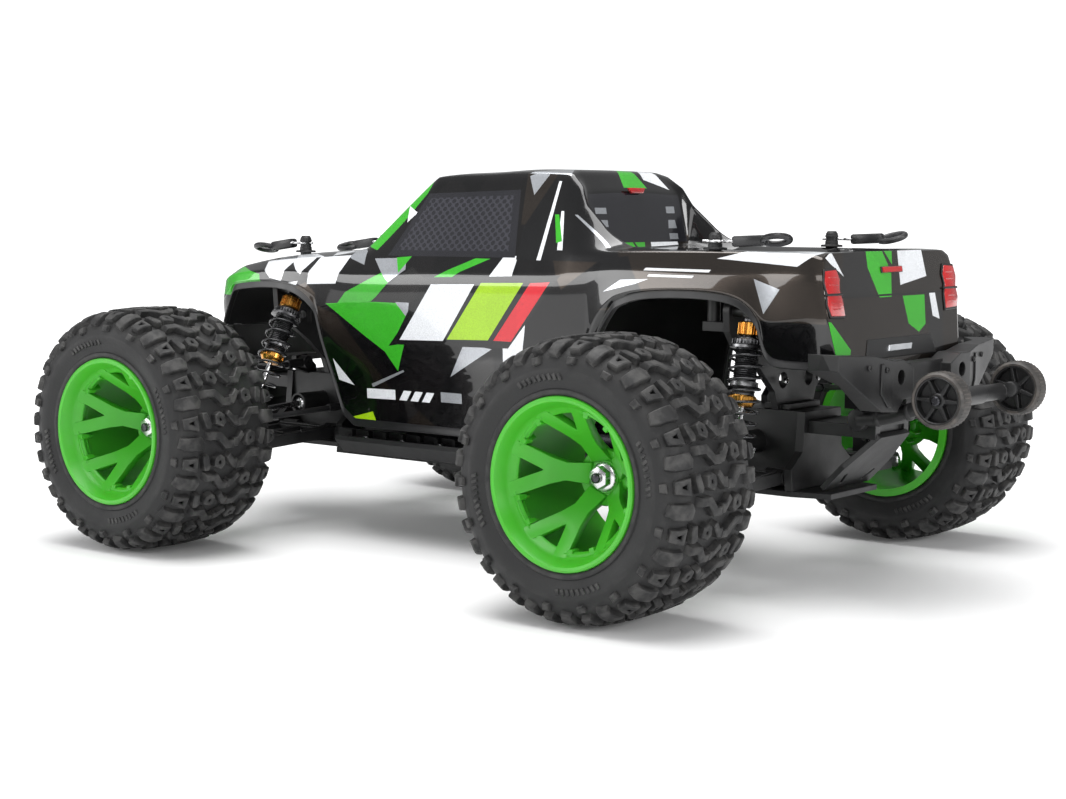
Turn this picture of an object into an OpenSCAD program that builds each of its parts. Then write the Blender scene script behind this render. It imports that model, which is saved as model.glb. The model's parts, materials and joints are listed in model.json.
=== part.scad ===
/* [Stance] */
// Distance between the front and rear axles
wheelbase = 333; // [331:1:335]
// Distance between the middles of the left and right tyres
track = 333; // [331:1:335]
// Foremost point of the truck, ahead of the middle of the wheelbase
front_reach = 240; // [240:1:242]

/* [Wheels] */
// Outside diameter of a tyre
tyre_d = 145; // [143:1:147]
// Width of a tyre across its sidewalls
tyre_w = 76; // [74:1:76]
// Radius of the rim at its outer lip
rim_r = 43; // [42:0.5:44]
// Radius of the hollow inside the rim
rim_hollow_r = 38.5; // [38:0.5:39]

/* [Suspension] */
// Inner hinge of a lower arm, distance from the centre line
arm_in_y = 28; // [27.9:0.1:28.1]
// Inner hinge of a lower arm, height
arm_in_z = 60; // [59.9:0.1:60.1]
// Outer hinge of a lower arm, distance from the centre line
arm_out_y = 118; // [117.9:0.1:118.1]
// Outer hinge of a lower arm, height
arm_out_z = 55; // [54.9:0.1:55.1]
// Inner ball of an upper link, distance from the centre line
link_in_y = 26; // [25.9:0.1:26.1]
// Inner ball of an upper link, height
link_in_z = 103; // [102.9:0.1:103.1]
// Inner ball of a half shaft, distance from the centre line
shaft_in_y = 38; // [37.9:0.1:38.1]
// Inner ball of a half shaft, height
shaft_in_z = 77.5; // [77.4:0.1:77.6]
// Inner ball of a steering tie rod, distance from the centre line
tie_in_y = 34; // [33.9:0.1:34.1]
// Inner ball of a steering tie rod, height
tie_in_z = 78; // [77.9:0.1:78.1]
// Top pivot of a front damper, distance from the centre line
front_damper_top_y = 61; // [60.9:0.1:61.1]
// Top pivot of a front damper, height
front_damper_top_z = 152; // [151.9:0.1:152.1]
// Bottom eye of a front damper, distance from the centre line
front_damper_foot_y = 102; // [101.9:0.1:102.1]
// Bottom eye of a front damper, height
front_damper_foot_z = 72; // [71.9:0.1:72.1]
// Top pivot of a rear damper, distance from the centre line
rear_damper_top_y = 66; // [65.9:0.1:66.1]
// Top pivot of a rear damper, height
rear_damper_top_z = 152; // [151.9:0.1:152.1]
// Bottom eye of a rear damper, distance from the centre line
rear_damper_foot_y = 80; // [79.9:0.1:80.1]
// Bottom eye of a rear damper, height
rear_damper_foot_z = 70; // [69.9:0.1:70.1]
// Radius of the hinge pins
pin_r = 1.5; // [1.4:0.05:1.6]
// Gap all round a pin in its bore
running_gap = 0.05; // [0.02:0.01:0.08]

/* [Springs] */
// Outside radius of a coil spring
spring_r = 9.4; // [9:0.1:9.5]
// Diameter of the spring wire
spring_wire = 1.5; // [1.2:0.1:1.6]
// Number of turns in a spring
spring_turns = 8; // [6:1:9]

/* [Body shell] */
// Thickness of the body shell
shell_wall = 1.5; // [1.2:0.1:1.8]
// Radius of the body posts
post_r = 3.5; // [3.2:0.1:3.8]
// Height of the tops of the rear posts
rear_post_top = 193.6; // [190:0.2:195]
// Height of the tops of the front posts
front_post_top = 186; // [184:0.2:188]

/* [Chassis] */
// Height of the underside of the chassis
chassis_z = 50; // [49:0.5:51]
// Thickness of the chassis floor
floor_t = 3; // [2.5:0.5:3]
// Half the width of the chassis tub
tub_y = 53; // [53:0.5:54]

/* [Wheelie bar] */
// Distance of the wheelie wheels behind the middle of the wheelbase
wheelie_x = 291; // [289:1:292]
// Height of the wheelie wheels' axle
wheelie_z = 110.6; // [110:0.2:112]
// Middle of a wheelie wheel, from the centre line
wheelie_y = 46.6; // [46:0.2:48]
// Radius of a wheelie wheel
wheelie_r = 14.7; // [14:0.1:15]
// Width of a wheelie wheel
wheelie_w = 11; // [10:0.5:11]

/* [Gears] */
// Teeth of the spur gear on the centre shaft
spur_teeth = 51; // [51:1:51]
// Teeth of the motor pinion
pinion_teeth = 19; // [19:1:19]
// Gear module
gear_module = 0.8; // [0.8:0.1:0.8]

/* [Hidden] */
$fn = 48;
HULL_FN = 32;

FRONT = 1;
REAR = -1;
LEFT = 1;
RIGHT = -1;

// Pivots as [across, up]
arm_in = [arm_in_y, arm_in_z];
arm_out = [arm_out_y, arm_out_z];
link_in = [link_in_y, link_in_z];
shaft_in = [shaft_in_y, shaft_in_z];
tie_in = [tie_in_y, tie_in_z];
front_damper_top = [front_damper_top_y, front_damper_top_z];
front_damper_foot = [front_damper_foot_y, front_damper_foot_z];
rear_damper_top = [rear_damper_top_y, rear_damper_top_z];
rear_damper_foot = [rear_damper_foot_y, rear_damper_foot_z];

axle_x = wheelbase / 2;
wheel_y = track / 2;
axle_z = tyre_d / 2;
rear_reach = wheelie_x + wheelie_r;
car_shift = (rear_reach - front_reach) / 2;
bore_r = pin_r + running_gap;

// One parallelogram carries the wheel: every link of a corner spans the same step
arm_step = arm_out - arm_in;
arm_len = norm(arm_step);
arm_tilt = atan2(arm_step[1], arm_step[0]);
link_out = link_in + arm_step;
shaft_out = shaft_in + arm_step;
tie_out = tie_in + arm_step;
link_x = 9;
steer_arm = [-24, tie_out[0] - shaft_out[0]];
rack_x = 130;
tie_skew = axle_x + steer_arm[0] - rack_x;

// Distances of the dampers and tower plates from their axle
front_damper_x = -16.5;
rear_damper_x = -23.5;
tower_gap = 10.3;
tower_t = 4;
damper_clear_r = 3.4;

// Wheel hub, measured across the truck
cup_y = [124.5, 134.5];
cup_r = 6.5;
cup_hollow_r = 5.2;
ball_r = 4.6;
bearing_y = [136, 147];
journal_r = 4;
hex_y = [148, 153.5];
hub_face_y = wheel_y - 1;
thread_r = 2.5;

// Web of a caster block or hub carrier, between the prongs of its arm
web_half = 10.1;
web_y = [111.5, 116];

// Centre drive line
drive_z = 76;
drive_r = 2.5;
spur_x = [-40.5, -31.5];
spur_pitch_r = gear_module * spur_teeth / 2;
pinion_pitch_r = gear_module * pinion_teeth / 2;
motor_y = spur_pitch_r + pinion_pitch_r;
motor_r = 17.8;
motor_x = [-102, -50];
gearbox_half = 31;

// Damper, along its axis
eye_r = 4.4;
bore_top = 14.2;
bore_end = 46;
cylinder_r = 5;
piston_at = 29.3;

// Body posts and the height of their clips below the tops
clip_drop = 4.6;
front_post = [163, 38];
rear_post = [-165, 63.6];

// Holes in the rear bumper
bumper_hole = [36, 120];
bumper_hole_r = 4;
bumper_face = [-263, -249];

// Stations of the shell from tail to nose. Each holds: x, inner skin's step along x, lean of the face,
// then [across, up] for the bottom edge, crease, shoulder, cab base, roof edge and inner edge,
// and the height of the middle
shell_stations = [
    [-235, 1.5, -10, [70, 125], [75, 150], [74, 172], [70, 182], [56, 184], [30, 184.5], 184.5],
    [-228, 0, -6, [76, 124], [78, 148], [76, 172], [71, 183], [56, 184], [40, 183], 183],
    [-208, 0, 0, [76, 124], [78, 148], [76, 172], [71, 184], [57, 184], [44, 181], 181],
    [-200, 0, 0, [76, 145], [78, 152], [76, 172], [71, 184], [57, 184], [44, 181], 181],
    [-190, 0, 0, [76, 155], [78, 160], [76, 172], [71, 184], [57, 184], [44, 181], 181],
    [-176, 0, 0, [76, 159], [78, 163], [76, 172], [71, 184], [57, 184], [44, 181], 181],
    [-122, 0, 0, [76, 157], [78, 161], [76, 172], [71, 183], [57, 183.5], [44, 181], 181],
    [-107, 0, 0, [75, 153], [77, 158], [75, 172], [70, 182.5], [57, 184], [47, 181], 181],
    [-94, 0, 0, [73, 136], [76, 150], [74, 171], [69, 182], [56, 195], [48, 182], 181],
    [-88, 0, 0, [72, 71], [75, 120], [74, 168], [69, 182], [55.5, 200], [48, 184], 181],
    [-72, 1.5, 0, [72, 71], [75, 115], [74, 166], [68, 181], [51, 218], [46, 184], 182],
    [-62, 1.5, 0, [72, 71], [75, 112], [74, 166], [68, 180], [48, 226], [34, 228], 228],
    [-24, 0, 0, [72, 71], [75, 110], [74, 165], [68, 179], [47, 227.5], [30, 229], 229],
    [26, 0, 0, [72, 71], [75, 110], [74, 164], [68, 178], [47, 225.5], [30, 227], 227.5],
    [44, 0, 0, [72, 71], [75, 111], [74, 163.5], [67.5, 177.5], [47.5, 223.5], [32, 225], 225.5],
    [60, 0, 0, [72, 71], [75, 112], [74, 163], [67, 177], [52, 208.5], [34, 210], 210.5],
    [92, 0, 0, [72, 71], [75, 116], [74, 163], [66, 176], [60, 179], [38, 180.5], 181],
    [104, 0, 0, [74, 98], [75, 122], [74, 164], [65, 175], [58, 178], [36, 179], 180],
    [116, 0, 0, [74, 124], [75, 138], [74, 164], [64, 174], [56, 176.5], [34, 178], 179],
    [119, 0, 0, [74, 141], [75, 149], [74, 164], [64, 174], [56, 176.5], [34, 178], 178.5],
    [135, 0, 0, [74, 153], [75, 158], [74, 165], [64, 173], [54, 175.5], [34, 177], 177.5],
    [166, 0, 0, [73, 154], [74.5, 159], [73, 165], [63, 171], [52, 173.5], [34, 174.5], 175],
    [196, 0, 0, [72, 150], [73.5, 155], [72, 161], [62, 166.5], [50, 168.5], [32, 169.5], 170],
    [204, 0, 2, [70, 126], [72, 142], [70, 158], [60, 163.5], [48, 165], [30, 166], 166.5],
    [210, -1.5, 4, [60, 126], [63, 142], [61, 155], [54, 161], [42, 162.5], [26, 163.5], 164]
];

function damper_top(end) = end == FRONT ? front_damper_top : rear_damper_top;
function damper_foot(end) = end == FRONT ? front_damper_foot : rear_damper_foot;
function damper_x(end) = end == FRONT ? front_damper_x : rear_damper_x;
function damper_len(end) = norm(damper_foot(end) - damper_top(end));

// Places children in a corner frame: X from the axle, Y outboard, Z up
module corner(end, side) {
    translate([car_shift + end * axle_x, 0, 0])
        if (side == LEFT) children();
        else mirror([0, 1, 0]) children();
}

module on_car() {
    translate([car_shift, 0, 0]) children();
}

module both_sides() {
    children();
    mirror([0, 1, 0]) children();
}

// Cylinder along X at [y, z]
module rod_x(at, x0, x1, r) {
    translate([x0, at[0], at[1]]) rotate([0, 90, 0]) cylinder(h = x1 - x0, r = r);
}

// Cylinder along Y at [x, z]
module rod_y(at, y0, y1, r) {
    translate([at[0], y0, at[1]]) rotate([-90, 0, 0]) cylinder(h = y1 - y0, r = r);
}

// Flat plate drawn in Y and Z, from x0 to x1
module plate_x(x0, x1) {
    translate([x0, 0, 0]) rotate([90, 0, 90]) linear_extrude(x1 - x0) children();
}

module box(from, to) {
    translate(from) cube(to - from);
}

// Local frame with Z running from a down to b, both [y, z] at x
module along(x, a, b) {
    step = b - a;
    translate([x, a[0], a[1]]) rotate([atan2(-step[0], step[1]), 0, 0]) children();
}

// ---------- wheels ----------

// Turns a profile of [radius, outboard] round the wheel's axis
module wheel_turned() {
    translate([0, wheel_y, axle_z]) rotate([-90, 0, 0]) rotate_extrude() children();
}

module tyre() {
    half = tyre_w / 2;
    crown = tyre_d / 2;
    bead = rim_hollow_r + 2.6;
    color("#202122") wheel_turned() polygon([
        [bead, -half + 3.6], [rim_r + 0.3, -half + 3.4], [rim_r + 7, -half + 0.8], [rim_r + 14, -half],
        [crown - 7, -half + 1], [crown - 2.5, -half + 5], [crown - 0.4, -half + 11], [crown, -half + 24],
        [crown, half - 24], [crown - 0.4, half - 11], [crown - 2.5, half - 5], [crown - 7, half - 1],
        [rim_r + 14, half], [rim_r + 7, half - 0.8], [rim_r + 0.3, half - 5.2], [bead, half - 5.2],
        [bead, half - 9], [rim_r + 6, half - 7], [crown - 12, half - 5], [crown - 8, half - 13],
        [crown - 8, -half + 13], [crown - 12, -half + 5], [rim_r + 6, -half + 6], [bead, -half + 8]
    ]);
}

module rim_barrel() {
    half = tyre_w / 2;
    wall_r = rim_hollow_r + 2.5;
    wheel_turned() polygon([
        [rim_hollow_r, -half + 1], [rim_r, -half + 1], [rim_r, -half + 3.2], [wall_r, -half + 3.4],
        [wall_r, half - 5], [rim_r, half - 4.6], [rim_r, half - 2], [rim_r - 1, half - 1.5],
        [rim_r - 3, half - 1.5], [rim_hollow_r, half - 5]
    ]);
}

module rim() {
    spokes = 5;
    spoke_w = 7;
    fork = 18;
    color("#1fc52c") difference() {
        union() {
            rim_barrel();
            intersection() {
                wheel_turned() polygon([
                    [0, -13], [12, -13], [rim_hollow_r + 1, 14], [rim_hollow_r + 1, 32], [9, -1], [0, -1]
                ]);
                translate([0, wheel_y, axle_z]) rotate([-90, 0, 0]) translate([0, 0, -15]) linear_extrude(50)
                    for (i = [0:spokes - 1]) rotate(i * 360 / spokes + 90) {
                        translate([0, -spoke_w / 2]) square([24, spoke_w]);
                        for (s = [-1, 1]) translate([17, 0]) rotate(s * 2 * fork)
                            translate([-3, -spoke_w / 2]) square([rim_hollow_r - 11, spoke_w]);
                    }
            }
            rod_y([0, axle_z], hex_y[1] + 0.2, hub_face_y, 9.5);
        }
        rod_y([0, axle_z], hex_y[0], hub_face_y + 3, thread_r + 0.1);
    }
}

module stub_axle() {
    hex_r = 7.5;
    nut_r = 5.2;
    color("silver") difference() {
        union() {
            rod_y([0, axle_z], cup_y[0], cup_y[1], cup_r);
            rod_y([0, axle_z], cup_y[1], hex_y[0], journal_r);
            translate([0, hex_y[0], axle_z]) rotate([-90, 0, 0])
                cylinder(h = hex_y[1] - hex_y[0], r = hex_r, $fn = 6);
            rod_y([0, axle_z], hex_y[1], wheel_y + 6, thread_r);
            rod_y([0, axle_z], hub_face_y + 0.1, hub_face_y + 1.4, 6);
            translate([0, hub_face_y + 1.4, axle_z]) rotate([-90, 0, 0]) cylinder(h = 4, r = nut_r, $fn = 6);
        }
        rod_y([0, axle_z], cup_y[0] - 1, cup_y[1] - 1.4, cup_hollow_r);
    }
}

// ---------- uprights ----------

// Bearing tube that the stub axle turns in
module bearing_tube() {
    rod_y([0, axle_z], 122, bearing_y[1], 10.5);
}

module bearing_hollow() {
    rod_y([0, axle_z], 121, bearing_y[0] - 0.5, cup_r + 1.1);
    rod_y([0, axle_z], 121, bearing_y[1] + 1, journal_r + running_gap);
}

// Ear that holds the outer ball of the upper link beside its eye
module link_ear(x0) {
    rod_x(link_out, x0, link_x + 7.4, pin_r + 3);
    rod_x(link_out, link_x - 3, x0 + 1, pin_r);
}

module knuckle() {
    ear_z = [84, 60.9];
    color("#1b1c1d") difference() {
        union() {
            bearing_tube();
            translate([0, shaft_out[0], ear_z[1]]) cylinder(h = ear_z[0] - ear_z[1], r = 6.5);
            hull() {
                translate([-4, shaft_out[0] + 2, 66]) cylinder(h = 3.5, r = 5, $fn = HULL_FN);
                translate([steer_arm[0], tie_out[0], 66]) cylinder(h = 3.5, r = 3.6, $fn = HULL_FN);
            }
        }
        bearing_hollow();
        translate([0, shaft_out[0], ear_z[1] - 1]) cylinder(h = 26, r = bore_r);
    }
}

module caster_block() {
    foot_z = [56.2, 60.5];
    head_z = [84.4, 89];
    color("#18191a") difference() {
        union() {
            box([-web_half, web_y[0], 50.5], [web_half, web_y[1], head_z[1]]);
            rod_x(arm_out, -9.8, 9.8, 4.8);
            for (z = [foot_z, head_z]) {
                box([-6.5, web_y[1] - 1, z[0]], [6.5, shaft_out[0], z[1]]);
                translate([0, shaft_out[0], z[0]]) cylinder(h = z[1] - z[0], r = 6.5);
            }
            box([-6, web_y[0], head_z[0]], [link_x + 7.4, web_y[0] + 9, link_out[1] - 5.2]);
            box([link_x + 3.4, link_out[0] - 4.5, head_z[0]], [link_x + 7.4, link_out[0] + 4.5, link_out[1]]);
            link_ear(link_x + 3.4);
            translate([0, shaft_out[0], foot_z[1] - 1]) cylinder(h = 4.4, r = pin_r);
            translate([0, shaft_out[0], head_z[0] - 3.4]) cylinder(h = 4.4, r = pin_r);
        }
        rod_x(arm_out, -12, 12, bore_r);
        rod_y([0, axle_z + 0.7], web_y[0] - 1, web_y[1] + 1, 8);
    }
}

module hub_carrier() {
    color("#1b1c1d") difference() {
        union() {
            bearing_tube();
            box([-web_half, web_y[0], 50.5], [web_half, web_y[1], 89]);
            for (z = [56.2, 82]) box([-8, web_y[1] - 1, z], [8, 134, z + 6]);
            box([-8, 122, 56.2], [8, 134, 88]);
            rod_x(arm_out, -9.8, 9.8, 4.8);
            box([-6, web_y[0], 84.4], [link_x + 7.4, web_y[0] + 9, link_out[1] - 5.2]);
            box([link_x + 3.4, link_out[0] - 4.5, 84.4], [link_x + 7.4, link_out[0] + 4.5, link_out[1]]);
            link_ear(link_x + 3.4);
        }
        rod_x(arm_out, -12, 12, bore_r);
        rod_y([0, axle_z + 0.7], web_y[0] - 1, web_y[1] + 1, 8);
        bearing_hollow();
    }
}

// ---------- arms and links ----------

module lower_arm(end) {
    thick = 7;
    foot = damper_foot(end);
    eye_x = damper_x(end);
    ear_t = 2.3;
    color("#17181a") difference() {
        union() {
            translate([0, arm_in[0], arm_in[1]]) rotate([arm_tilt, 0, 0]) translate([0, 0, -thick / 2])
                linear_extrude(thick) difference() {
                    polygon([[-24, 1], [24, 1], [16, arm_len], [10.5, arm_len], [10.5, arm_len - 10],
                        [-10.5, arm_len - 10], [-10.5, arm_len], [-16, arm_len]]);
                    polygon([[-12, -1], [12, -1], [12, 8], [-12, 8]]);
                    polygon([[-16, 15], [-3, 15], [-3, 40], [-13.5, 40]]);
                    polygon([[16, 15], [3, 15], [3, 40], [13.5, 40]]);
                    polygon([[-11, 48], [11, 48], [7, 68], [-7, 68]]);
                }
            for (s = [-1, 1]) {
                rod_x(arm_in, s > 0 ? 12.4 : -25, s > 0 ? 25 : -12.4, 4.5);
                rod_x(arm_out, s > 0 ? 10.9 : -16.4, s > 0 ? 16.4 : -10.9, 4.5);
                plate_x(eye_x + (s > 0 ? 3.4 : -3.4 - ear_t), eye_x + (s > 0 ? 3.4 + ear_t : -3.4)) polygon([
                    [foot[0] - 11, arm_in[1] - 5.6], [foot[0] + 6, arm_in[1] - 5.6],
                    [foot[0] + 3, foot[1] + 3], [foot[0] - 4, foot[1] + 3]
                ]);
            }
            rod_x(arm_out, -12, 12, pin_r);
            rod_x(foot, eye_x - 5, eye_x + 5, pin_r);
            box([eye_x - 5.9, foot[0] - 9, arm_in[1] - 6], [0, foot[0] + 7, arm_in[1] - 1.5]);
        }
        rod_x(arm_in, -30, 30, bore_r);
    }
}

module upper_link() {
    color("#232425") difference() {
        union() {
            for (p = [link_in, link_out]) rod_x(p, link_x - 3, link_x + 3, 4.2);
            along(link_x, link_in, link_out) {
                translate([0, 0, 3]) cylinder(h = arm_len - 6, r = 1.8);
                for (z = [3, arm_len - 17]) translate([0, 0, z]) cylinder(h = 14, r = 2.9);
                translate([0, 0, arm_len / 2 - 4]) cylinder(h = 8, r = 3, $fn = 6);
            }
        }
        rod_x(link_in, link_x - 4, link_x + 4, bore_r);
        rod_x(link_out, link_x - 4, link_x + 4, pin_r + 0.3);
    }
}

module half_shaft() {
    color("silver") {
        along(0, shaft_in, shaft_out) {
            cylinder(h = arm_len, r = 1.9);
            sphere(r = ball_r);
            translate([0, 0, arm_len]) sphere(r = ball_r);
        }
    }
}

module tie_rod() {
    plan_len = norm([tie_skew, arm_step[0]]);
    length = norm([tie_skew, arm_step[0], arm_step[1]]);
    color("#232425") translate([rack_x - axle_x, tie_in[0], tie_in[1]]) {
        rotate([0, 0, -atan2(tie_skew, arm_step[0])])
            rotate([atan2(arm_step[1], plan_len), 0, 0])
                rotate([-90, 0, 0]) {
            cylinder(h = length, r = 1.8);
            translate([0, 0, 4]) cylinder(h = 12, r = 2.4);
            translate([0, 0, length - 16]) cylinder(h = 12, r = 2.4);
        }
        sphere(r = 3);
        translate([tie_skew, arm_step[0], arm_step[1] - 2.6]) cylinder(h = 5.6, r = 4.2);
    }
}

module steering_rack() {
    ball_gap = 3.2;
    rack_end = tie_in[0] - 1.6;
    color("#2a2b2d") on_car() difference() {
        box([rack_x - 3, -rack_end, tie_in[1] - 3.5], [rack_x + 3, rack_end, tie_in[1] + 3.5]);
        both_sides() translate([rack_x, tie_in[0], tie_in[1]]) sphere(r = ball_gap);
        box([rack_x - 4, -14.5, tie_in[1] - 4], [rack_x + 4, 14.5, drive_z + drive_r + 0.6]);
    }
}

// ---------- dampers ----------

module damper_body(end) {
    color("#141414") difference() {
        union() {
            rod_x(damper_top(end), damper_x(end) - 3, damper_x(end) + 3, eye_r);
            along(damper_x(end), damper_top(end), damper_foot(end)) {
                translate([0, 0, 3]) cylinder(h = 4, r = 4);
                translate([0, 0, 6]) cylinder(h = 8, r = 6.9);
                translate([0, 0, 14]) cylinder(h = 31, r = 6.2);
                translate([0, 0, 14.5]) cylinder(h = 5, r = 8.4);
                translate([0, 0, 44]) cylinder(h = 6, r = 7);
            }
        }
        rod_x(damper_top(end), damper_x(end) - 4, damper_x(end) + 4, bore_r);
        along(damper_x(end), damper_top(end), damper_foot(end)) {
            translate([0, 0, bore_top]) cylinder(h = bore_end - bore_top, r = cylinder_r);
            translate([0, 0, bore_end - 1]) cylinder(h = 6, r = bore_r);
        }
    }
}

// Distance from the top pivot to the spring's perch on the rod
function perch(end) = damper_len(end) - 12;

module damper_rod(end) {
    color("silver") difference() {
        union() {
            rod_x(damper_foot(end), damper_x(end) - 3, damper_x(end) + 3, 5.6);
            along(damper_x(end), damper_top(end), damper_foot(end)) {
                translate([0, 0, piston_at]) cylinder(h = damper_len(end) - 4 - piston_at, r = pin_r);
                translate([0, 0, piston_at]) cylinder(h = 1.4, r = cylinder_r - 0.3);
                translate([0, 0, perch(end)]) cylinder(h = 3, r = spring_r + 0.3);
                translate([0, 0, perch(end) + 2]) cylinder(h = 6, r = 3.6);
            }
        }
        rod_x(damper_foot(end), damper_x(end) - 4, damper_x(end) + 4, damper_clear_r);
    }
}

function circle_at(r, a) = [r * cos(a), r * sin(a)];

// Coil spring between the damper's collar and the rod's perch
module spring(end) {
    sides = 8;
    steps_per_turn = 16;
    wire_r = spring_wire / 2;
    coil_r = spring_r - wire_r;
    low = 19.7 + wire_r;
    high = perch(end) - 0.2 - wire_r;
    steps = spring_turns * steps_per_turn;
    points = [
        for (i = [0:steps]) let (turn = i * 360 / steps_per_turn, z = low + (high - low) * i / steps)
            for (k = [0:sides - 1])
                let (w = circle_at(wire_r, k * 360 / sides), p = circle_at(coil_r + w[0], turn))
                [p[0], p[1], z + w[1]]
    ];
    faces = concat(
        [[for (k = [sides - 1:-1:0]) k]],
        [for (i = [0:steps - 1]) for (k = [0:sides - 1]) let (a = i * sides, n = (k + 1) % sides)
            each [[a + k, a + n, a + n + sides], [a + k, a + n + sides, a + k + sides]]],
        [[for (k = [0:sides - 1]) steps * sides + k]]
    );
    color("#101010") along(damper_x(end), damper_top(end), damper_foot(end))
        polyhedron(points, faces, convexity = 10);
}

// ---------- chassis and drive ----------

module chassis_outline() {
    waist = 32;
    polygon([
        [218, -26], [218, 26], [196, waist], [137, waist], [122, tub_y], [-122, tub_y], [-137, waist],
        [-196, waist], [-218, 26], [-218, -26], [-196, -waist], [-137, -waist], [-122, -tub_y],
        [122, -tub_y], [137, -waist], [196, -waist]
    ]);
}

module chassis_tub() {
    top = chassis_z + floor_t;
    mount_x = -48;
    color("#1c1d1f") on_car() difference() {
        union() {
            translate([0, 0, chassis_z]) linear_extrude(floor_t) chassis_outline();
            both_sides() {
                box([-120, tub_y - 3, chassis_z], [120, tub_y, 66]);
                plate_x(-112, 112) polygon([[tub_y - 1, 51], [tub_y + 4, 52], [tub_y + 12, 60],
                    [tub_y + 12, 63], [tub_y + 5, 62], [tub_y - 1, 62]]);
                for (x = [-105:14:105]) box([x, tub_y - 1, 51.5], [x + 2.5, tub_y + 4, 66]);
            }
            box([mount_x - 2, -9, top - 1], [mount_x + 2, motor_y + 16, drive_z + 9]);
            rod_x([0, drive_z], mount_x - 4, mount_x + 4, 6);
            for (s = [-1, 1])
                box([rack_x - 6, s * 11 - 3.5, top - 1], [rack_x + 5.2, s * 11 + 3.5, tie_in[1] + 7]);
            box([rack_x - 6, -14, top - 1], [rack_x + 5, 14, top + 4]);
            box([-22, -52, top - 1], [-18, -5, top + 10]);
            box([-15, -4, top - 1], [112, -2, top + 8]);
        }
        rod_x([0, drive_z], mount_x - 6, mount_x + 6, drive_r + running_gap);
        rod_x([motor_y, drive_z], mount_x - 6, mount_x + 6, 5);
        box([rack_x - 3.3, -20, tie_in[1] - 3.8], [rack_x + 3.3, 20, tie_in[1] + 3.8]);
    }
}

module gearbox() {
    low = chassis_z + floor_t + 0.2;
    half = gearbox_half;
    deck = 95.8;
    for (x = [-half, half - 5]) plate_x(x, x + 5) polygon([
        [-32, low], [32, low], [34, arm_in[1] + 5], [22, 74],
        [20, deck], [-20, deck], [-22, 74], [-34, arm_in[1] + 5]
    ]);
    box([-half + 1, -19, low], [half - 1, 19, deck]);
    both_sides() {
        rod_x(arm_in, -half + 3, half - 3, pin_r);
        plate_x(link_x + 3.4, link_x + 7.4) polygon([
            [12, deck - 1], [19, deck - 1], [31, link_in[1] - 4],
            [31, link_in[1] + 4], [21, link_in[1] + 5], [12, deck + 4]
        ]);
        rod_x(link_in, link_x - 3, link_x + 4, pin_r);
        difference() {
            rod_y([0, shaft_in[1]], 18, shaft_in[0] + 4, cup_r);
            rod_y([0, shaft_in[1]], shaft_in[0] - 6, shaft_in[0] + 5, cup_hollow_r);
        }
    }
}

module gearboxes() {
    color("#212224") on_car() for (end = [FRONT, REAR]) translate([end * axle_x, 0, 0]) gearbox();
}

module tower_half(top) {
    translate(top) circle(r = 6);
    polygon([
        [0, 96], [19, 96], [23, 106], [38, 119], top + [-3, -20], top + [5, -11], top + [6, 0],
        top + [-4, 4.4], [36, 142], [24, 134], [0, 122]
    ]);
}

module tower(end) {
    face_x = damper_x(end) + tower_gap;
    top = damper_top(end);
    color("#1a1b1d") difference() {
        union() {
            plate_x(face_x, face_x + tower_t) {
                tower_half(top);
                mirror([1, 0]) tower_half(top);
            }
            box([face_x - 6, -17, 96], [face_x + 10, 17, 99]);
            both_sides() {
                rod_x(top, damper_x(end) + 3.3, face_x + 1, 3);
                rod_x(top, damper_x(end) - 3.3, damper_x(end) + 4, pin_r);
                rod_x(top, damper_x(end) - 5.8, damper_x(end) - 3.3, 3);
            }
        }
        plate_x(face_x - 1, face_x + tower_t + 1) {
            for (s = [-1, 1]) {
                translate([s * 44, 135]) circle(r = 3.2);
                translate([s * 14, 112]) circle(r = 4.5);
            }
        }
    }
}

module post(at, base_z, top_z) {
    difference() {
        union() {
            translate([at[0], at[1], base_z]) cylinder(h = top_z - base_z - 1.5, r = post_r);
            translate([at[0], at[1], top_z - 1.5]) cylinder(h = 1.5, r1 = post_r, r2 = post_r - 1);
        }
        rod_x([at[1], top_z - clip_drop], at[0] - 6, at[0] + 6, 1.2);
    }
}

module shock_towers() {
    rear_face = rear_damper_x + tower_gap + tower_t - axle_x;
    color("#1a1b1d") on_car() {
        for (end = [FRONT, REAR]) translate([end * axle_x, 0, 0]) tower(end);
        both_sides() {
            post(front_post, 130, front_post_top);
            box([rear_face - 1, rear_post[1] - 5, 141], [rear_post[0] + 4, rear_post[1] + 5, 146]);
            post(rear_post, 143, rear_post_top);
        }
    }
}

// Involute flanks are stood in for by straight ones that stay just clear in mesh
module gear(teeth, x, y, turn) {
    pitch_r = gear_module * teeth / 2;
    tip_r = pitch_r + gear_module * 0.8;
    root_r = pitch_r - gear_module * 1.05;
    pitch_step = 360 / teeth;
    translate([x[0], y, drive_z]) rotate([90, 0, 90]) linear_extrude(x[1] - x[0]) union() {
        circle(r = root_r);
        for (i = [0:teeth - 1]) rotate(turn + i * pitch_step) polygon([
            circle_at(root_r - 0.3, -pitch_step * 0.25),
            circle_at(pitch_r, -pitch_step * 0.2),
            circle_at(tip_r, -pitch_step * 0.1),
            circle_at(tip_r, pitch_step * 0.1),
            circle_at(pitch_r, pitch_step * 0.2),
            circle_at(root_r - 0.3, pitch_step * 0.25)
        ]);
    }
}

module centre_shaft() {
    reach = axle_x - gearbox_half - 0.8;
    flange_t = 1.2;
    color("silver") on_car() {
        rod_x([0, drive_z], -reach, reach, drive_r);
        rod_x([0, drive_z], reach - flange_t, reach, 4);
        rod_x([0, drive_z], -reach, flange_t - reach, 4);
        gear(spur_teeth, spur_x, 0, 0);
    }
}

module motor_pinion() {
    half_tooth = 180 / pinion_teeth;
    color("silver") on_car() {
        gear(pinion_teeth, [-43.5, -31.5], motor_y, 180 + half_tooth);
        rod_x([motor_y, drive_z], -49.5, -30, 2);
    }
}

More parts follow.
